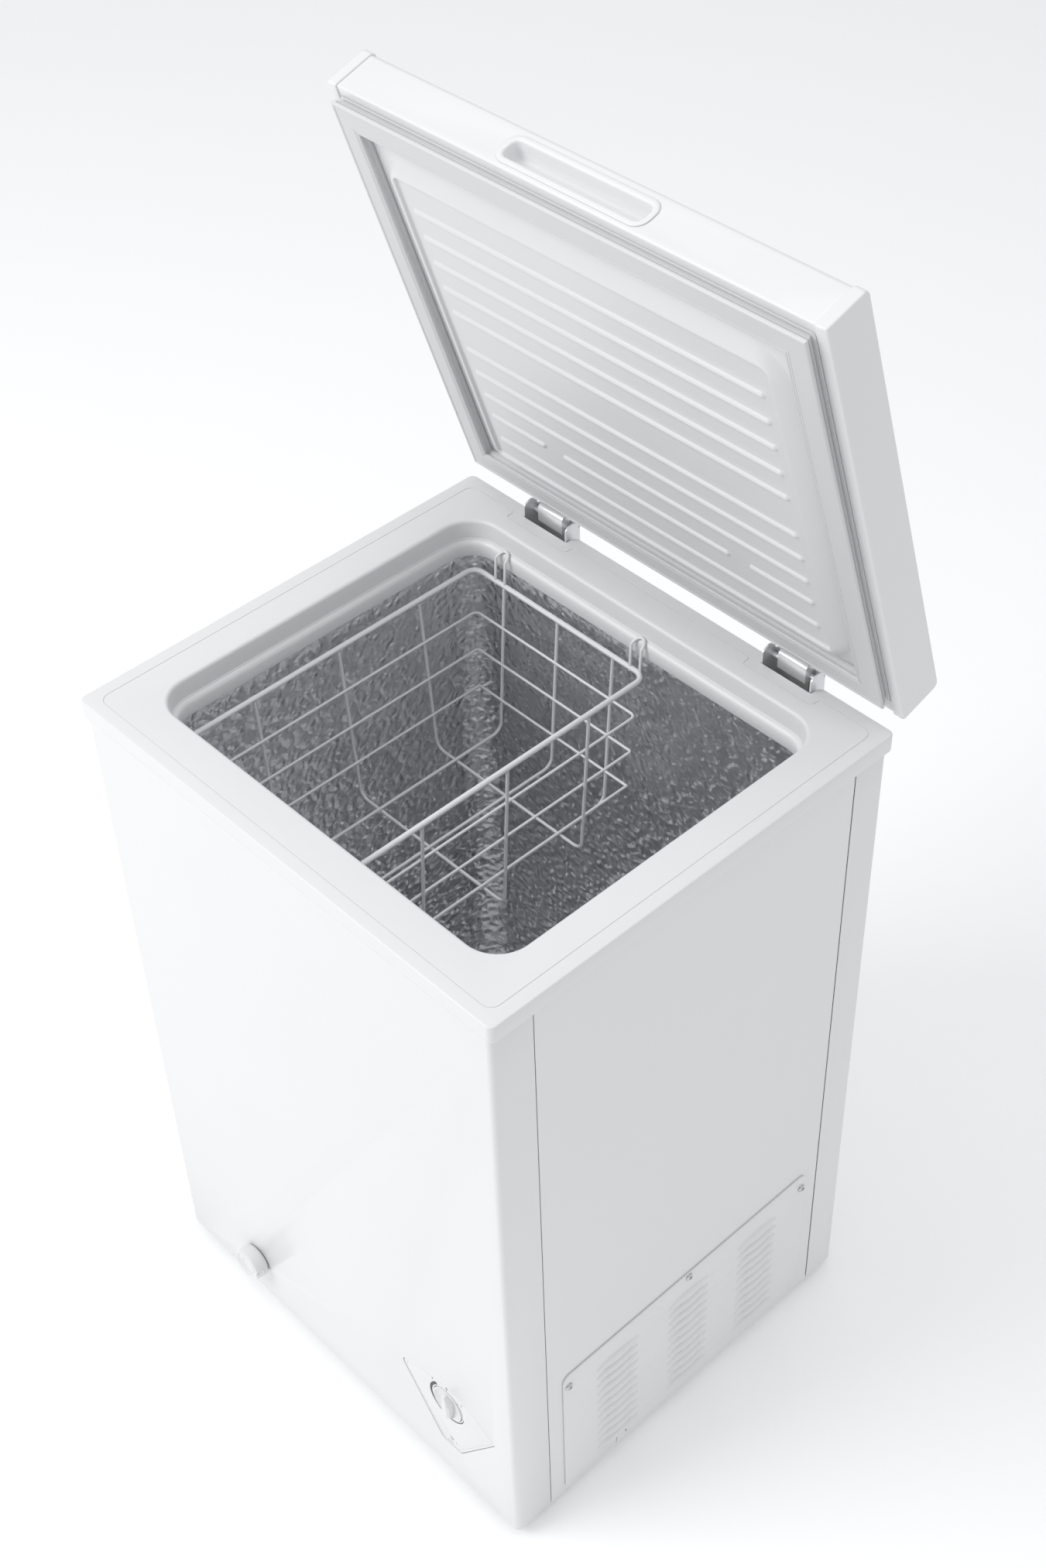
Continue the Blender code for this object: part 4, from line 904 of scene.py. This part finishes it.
def flat_ring(rect, d, r, down, steps=12):
    return ring(rect, d, r + d, lid_low - down, steps)


def bowl(pairs):
    """Rings of the tray's wall, whose corners tighten as it comes in."""
    return [flat_ring(tray_wall, d, 0.040 - 1.8 * d, down) for d, down in pairs]


brim = (-0.2604, 0.2604, seal[2] + 0.0015, seal[3] + 0.0006)
tray = bowl(((0.0245, 0.0070), (0.0200, 0.0072), (0.0140, 0.0068), (0.0060, 0.0034), (0.0010, 0.0012)))
tray += [flat_ring(seal, 0.0200, 0.010, 0.0003), flat_ring(brim, 0, 0.004, 0.0003)]
tray += [flat_ring(brim, 0, 0.004, 0.0015), flat_ring(seal, 0.0254, 0.008, 0.0015)]
tray += [flat_ring(seal, 0.0260, 0.008, 0.0020)]
tray += bowl(((-0.0008, 0.0021), (0.0006, 0.0024), (0.0018, 0.0031), (0.0050, 0.0050), (0.0090, 0.0074),
              (0.0130, 0.0096), (0.0150, 0.0105), (0.0166, 0.0110), (0.0180, 0.0111), (0.0190, 0.0107),
              (0.0198, 0.0098), (0.0205, 0.0088), (0.0213, 0.0082), (0.0224, 0.0080)))
lid_liner = solid("lid_lining_tray", skinned(tray), lining, angle=40, opened=lid_open)
fit(lid_liner, "lid", "lid_liner_plastic", "lid_liner")


def rib(name, x0, x1, y):
    """Long low rib with rounded ends, lying on the tray."""
    steps = ((-0.0004, 0.0078), (0.0, 0.0081), (0.0006, 0.0090), (0.0013, 0.0098), (0.0021, 0.0103),
             (0.0028, 0.0105))
    half = 0.0033
    levels = [(rounded(x0 + d, x1 - d, y - half + d, y + half - d, 0.00325 - d, 6), lid_low - down)
              for d, down in steps]
    return solid(name, lofted(levels), lining, angle=60)


rib_end, rib_step = 0.199, 0.030
for name, first, rows in (("lid_ribs_front", 0.376, 5), ("lid_ribs_back", 0.209, 3)):
    ribs = repeated(rib(name, -rib_end, rib_end, lid_back - first), 1, rows, (0, 0, 0), (0, rib_step, 0))
    ribs.data.transform(lid_open)
    ribs.data.shade_smooth()
    fit(ribs, "lid", "lid_liner_plastic")
last_ribs = ((-rib_end, -0.126, 0.120), (-0.103, 0.103, 0.120), (0.126, rib_end, 0.120),
             (-rib_end, rib_end, 0.088))
for i, (x0, x1, u) in enumerate(last_ribs):
    last = rib(f"lid_rib_short_{i}", x0, x1, lid_back - u)
    last.data.transform(lid_open)
    fit(last, "lid", "lid_liner_plastic")

section = [(0.0040, 0.0018), (0.0040, 0.0036), (0.0026, 0.0040), (0.0024, 0.0046), (0.0030, 0.0052),
           (0.0030, 0.0058), (0.0010, 0.0062), (0.0008, 0.0068), (0.0022, 0.0074), (0.0022, 0.0082),
           (0.0003, 0.0086), (0.0, 0.0094), (0.0001, 0.0106), (0.0007, 0.0116), (0.0018, 0.0120),
           (0.0030, 0.0118), (0.0038, 0.0112), (0.0200, 0.0114), (0.0204, 0.0108), (0.0208, 0.0114),
           (0.0222, 0.0115), (0.0226, 0.0109), (0.0230, 0.0115), (0.0244, 0.0112), (0.0250, 0.0104),
           (0.0248, 0.0088), (0.0236, 0.0078), (0.0236, 0.0060), (0.0250, 0.0050), (0.0250, 0.0018)]
strip = lofted([(rectangle(*inset(seal, d)), lid_low - down) for d, down in section], loop=True)
gasket = solid("lid_gasket_strip", strip, vinyl, angle=25, opened=lid_open)
fit(gasket, "lid", "gasket_vinyl", "lid_gasket")


# ---------------------------------------------------------------- basket
# A basket of welded steel wire in a thick white coating hangs in the left of the tub by four bent
# hangers that hook over the ledge of the collar.
basket_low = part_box("wire_basket")[0]
coated = finish("coated_wire", (0.80, 0.805, 0.81), 0.28, tint=0.015, coat=0.2, grain=((300.0, 0.0001),))
rack = (-0.214, 0.0265, middle - 0.1805, middle + 0.186)
rack_top, rack_floor = rim - 0.050, basket_low.z + 0.0019


rim_r, wire_r, lean = 0.0027, 0.0017, 0.0125
hang_z = rack_top - 0.0060
depth = hang_z - rack_floor
x0, x1, y0, y1 = inset(rack, rim_r)


def lap(d, z):
    """Closed path round the basket."""
    points = ring(rack, d, 0.0147, z, 6)
    return points + points[:1]


def trough(u0, u1, floor):
    """Path down one wall of the basket, across its floor and up the other wall."""
    corners = [(u0, hang_z, 0), (u0 + lean, floor, 0.012), (u1 - lean, floor, 0.012), (u1, hang_z, 0)]
    return filleted(corners, 5, closed=False)


rim_wire = wire("basket_rim", [lap(rim_r, rack_top - rim_r)], rim_r, coated, 12)
cross = []
for y in [middle + 0.008 + 0.102 * i for i in (-1, 0, 1)]:
    cross.append([(x, y, z) for x, z in trough(x0, x1, rack_floor)])
for x in [-0.0938 + 0.075 * i for i in (-1, 0, 1)]:
    cross.append([(x, y, z) for y, z in trough(y0, y1, rack_floor + 2 * wire_r)])
uprights = wire("basket_wires", cross, wire_r, coated, 10)
levels = [lap(rim_r + 2 * wire_r + lean * k / 4 * 0.9, hang_z - depth * k / 4) for k in (1, 2, 3)]
bands = wire("basket_bands", levels, 0.0014, coated, 10)
hangers = []
for x in (-0.174, 0.0105):
    for sign, edge in ((-1, middle - 0.1905), (1, middle + 0.196)):
        wall = (y0 if sign < 0 else y1) - sign * 0.0006
        over, top = edge - sign * 0.0032, rim - 0.0196
        path = filleted([(x - 0.0065, hang_z, 0), (x - 0.0065, top, 0.006), (x + 0.0065, top, 0.006),
                         (x + 0.0065, hang_z, 0)], 6, closed=False)
        bent = []
        for u, z in path:
            out = max(0.0, min(1.0, (z - (top - 0.0075)) / 0.0075))
            bent.append((u, wall + (over - wall) * out, z))
        hangers.append(bent)
hooks = wire("basket_hangers", hangers, 0.0015, coated, 10)
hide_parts("wire_basket")
for part in (rim_wire, uprights, bands, hooks):
    fit(part, "basket", "coated_wire")


# ---------------------------------------------------------------- floor and light
# A seamless pale floor under even soft daylight, with one large panel high on the front left that
# keeps the front and top brightest and leaves the right side a little darker.
pale = finish("pale_floor", (0.94, 0.94, 0.94), 0.85, tint=0.004)
pale.node_tree.nodes["Principled BSDF"].inputs["Emission Color"].default_value = (1, 1, 1, 1)
pale.node_tree.nodes["Principled BSDF"].inputs["Emission Strength"].default_value = 0.17
bm = bmesh.new()
bmesh.ops.create_grid(bm, x_segments=1, y_segments=1, size=14)
floor = shaped("floor", bm)
floor.data.materials.append(pale)

world = bpy.data.worlds.new("studio")
world.use_nodes = True
world.node_tree.nodes["Background"].inputs["Color"].default_value = (0.965, 0.98, 1.0, 1)
world.node_tree.nodes["Background"].inputs["Strength"].default_value = 0.60
bpy.context.scene.world = world

for name, spot, size, power in (("key", (-1.6, -3.0, 3.4), 2.4, 87.0), ("top", (0.3, 0.2, 3.6), 2.0, 18.0)):
    lamp = bpy.data.lights.new(name, "AREA")
    lamp.shape, lamp.size, lamp.energy = "SQUARE", size, power
    panel_light = placed(name, lamp)
    aim = Vector((0, middle, 0.7)) - Vector(spot)
    panel_light.matrix_world = Matrix.Translation(spot) @ aim.to_track_quat("-Z", "Y").to_matrix().to_4x4()
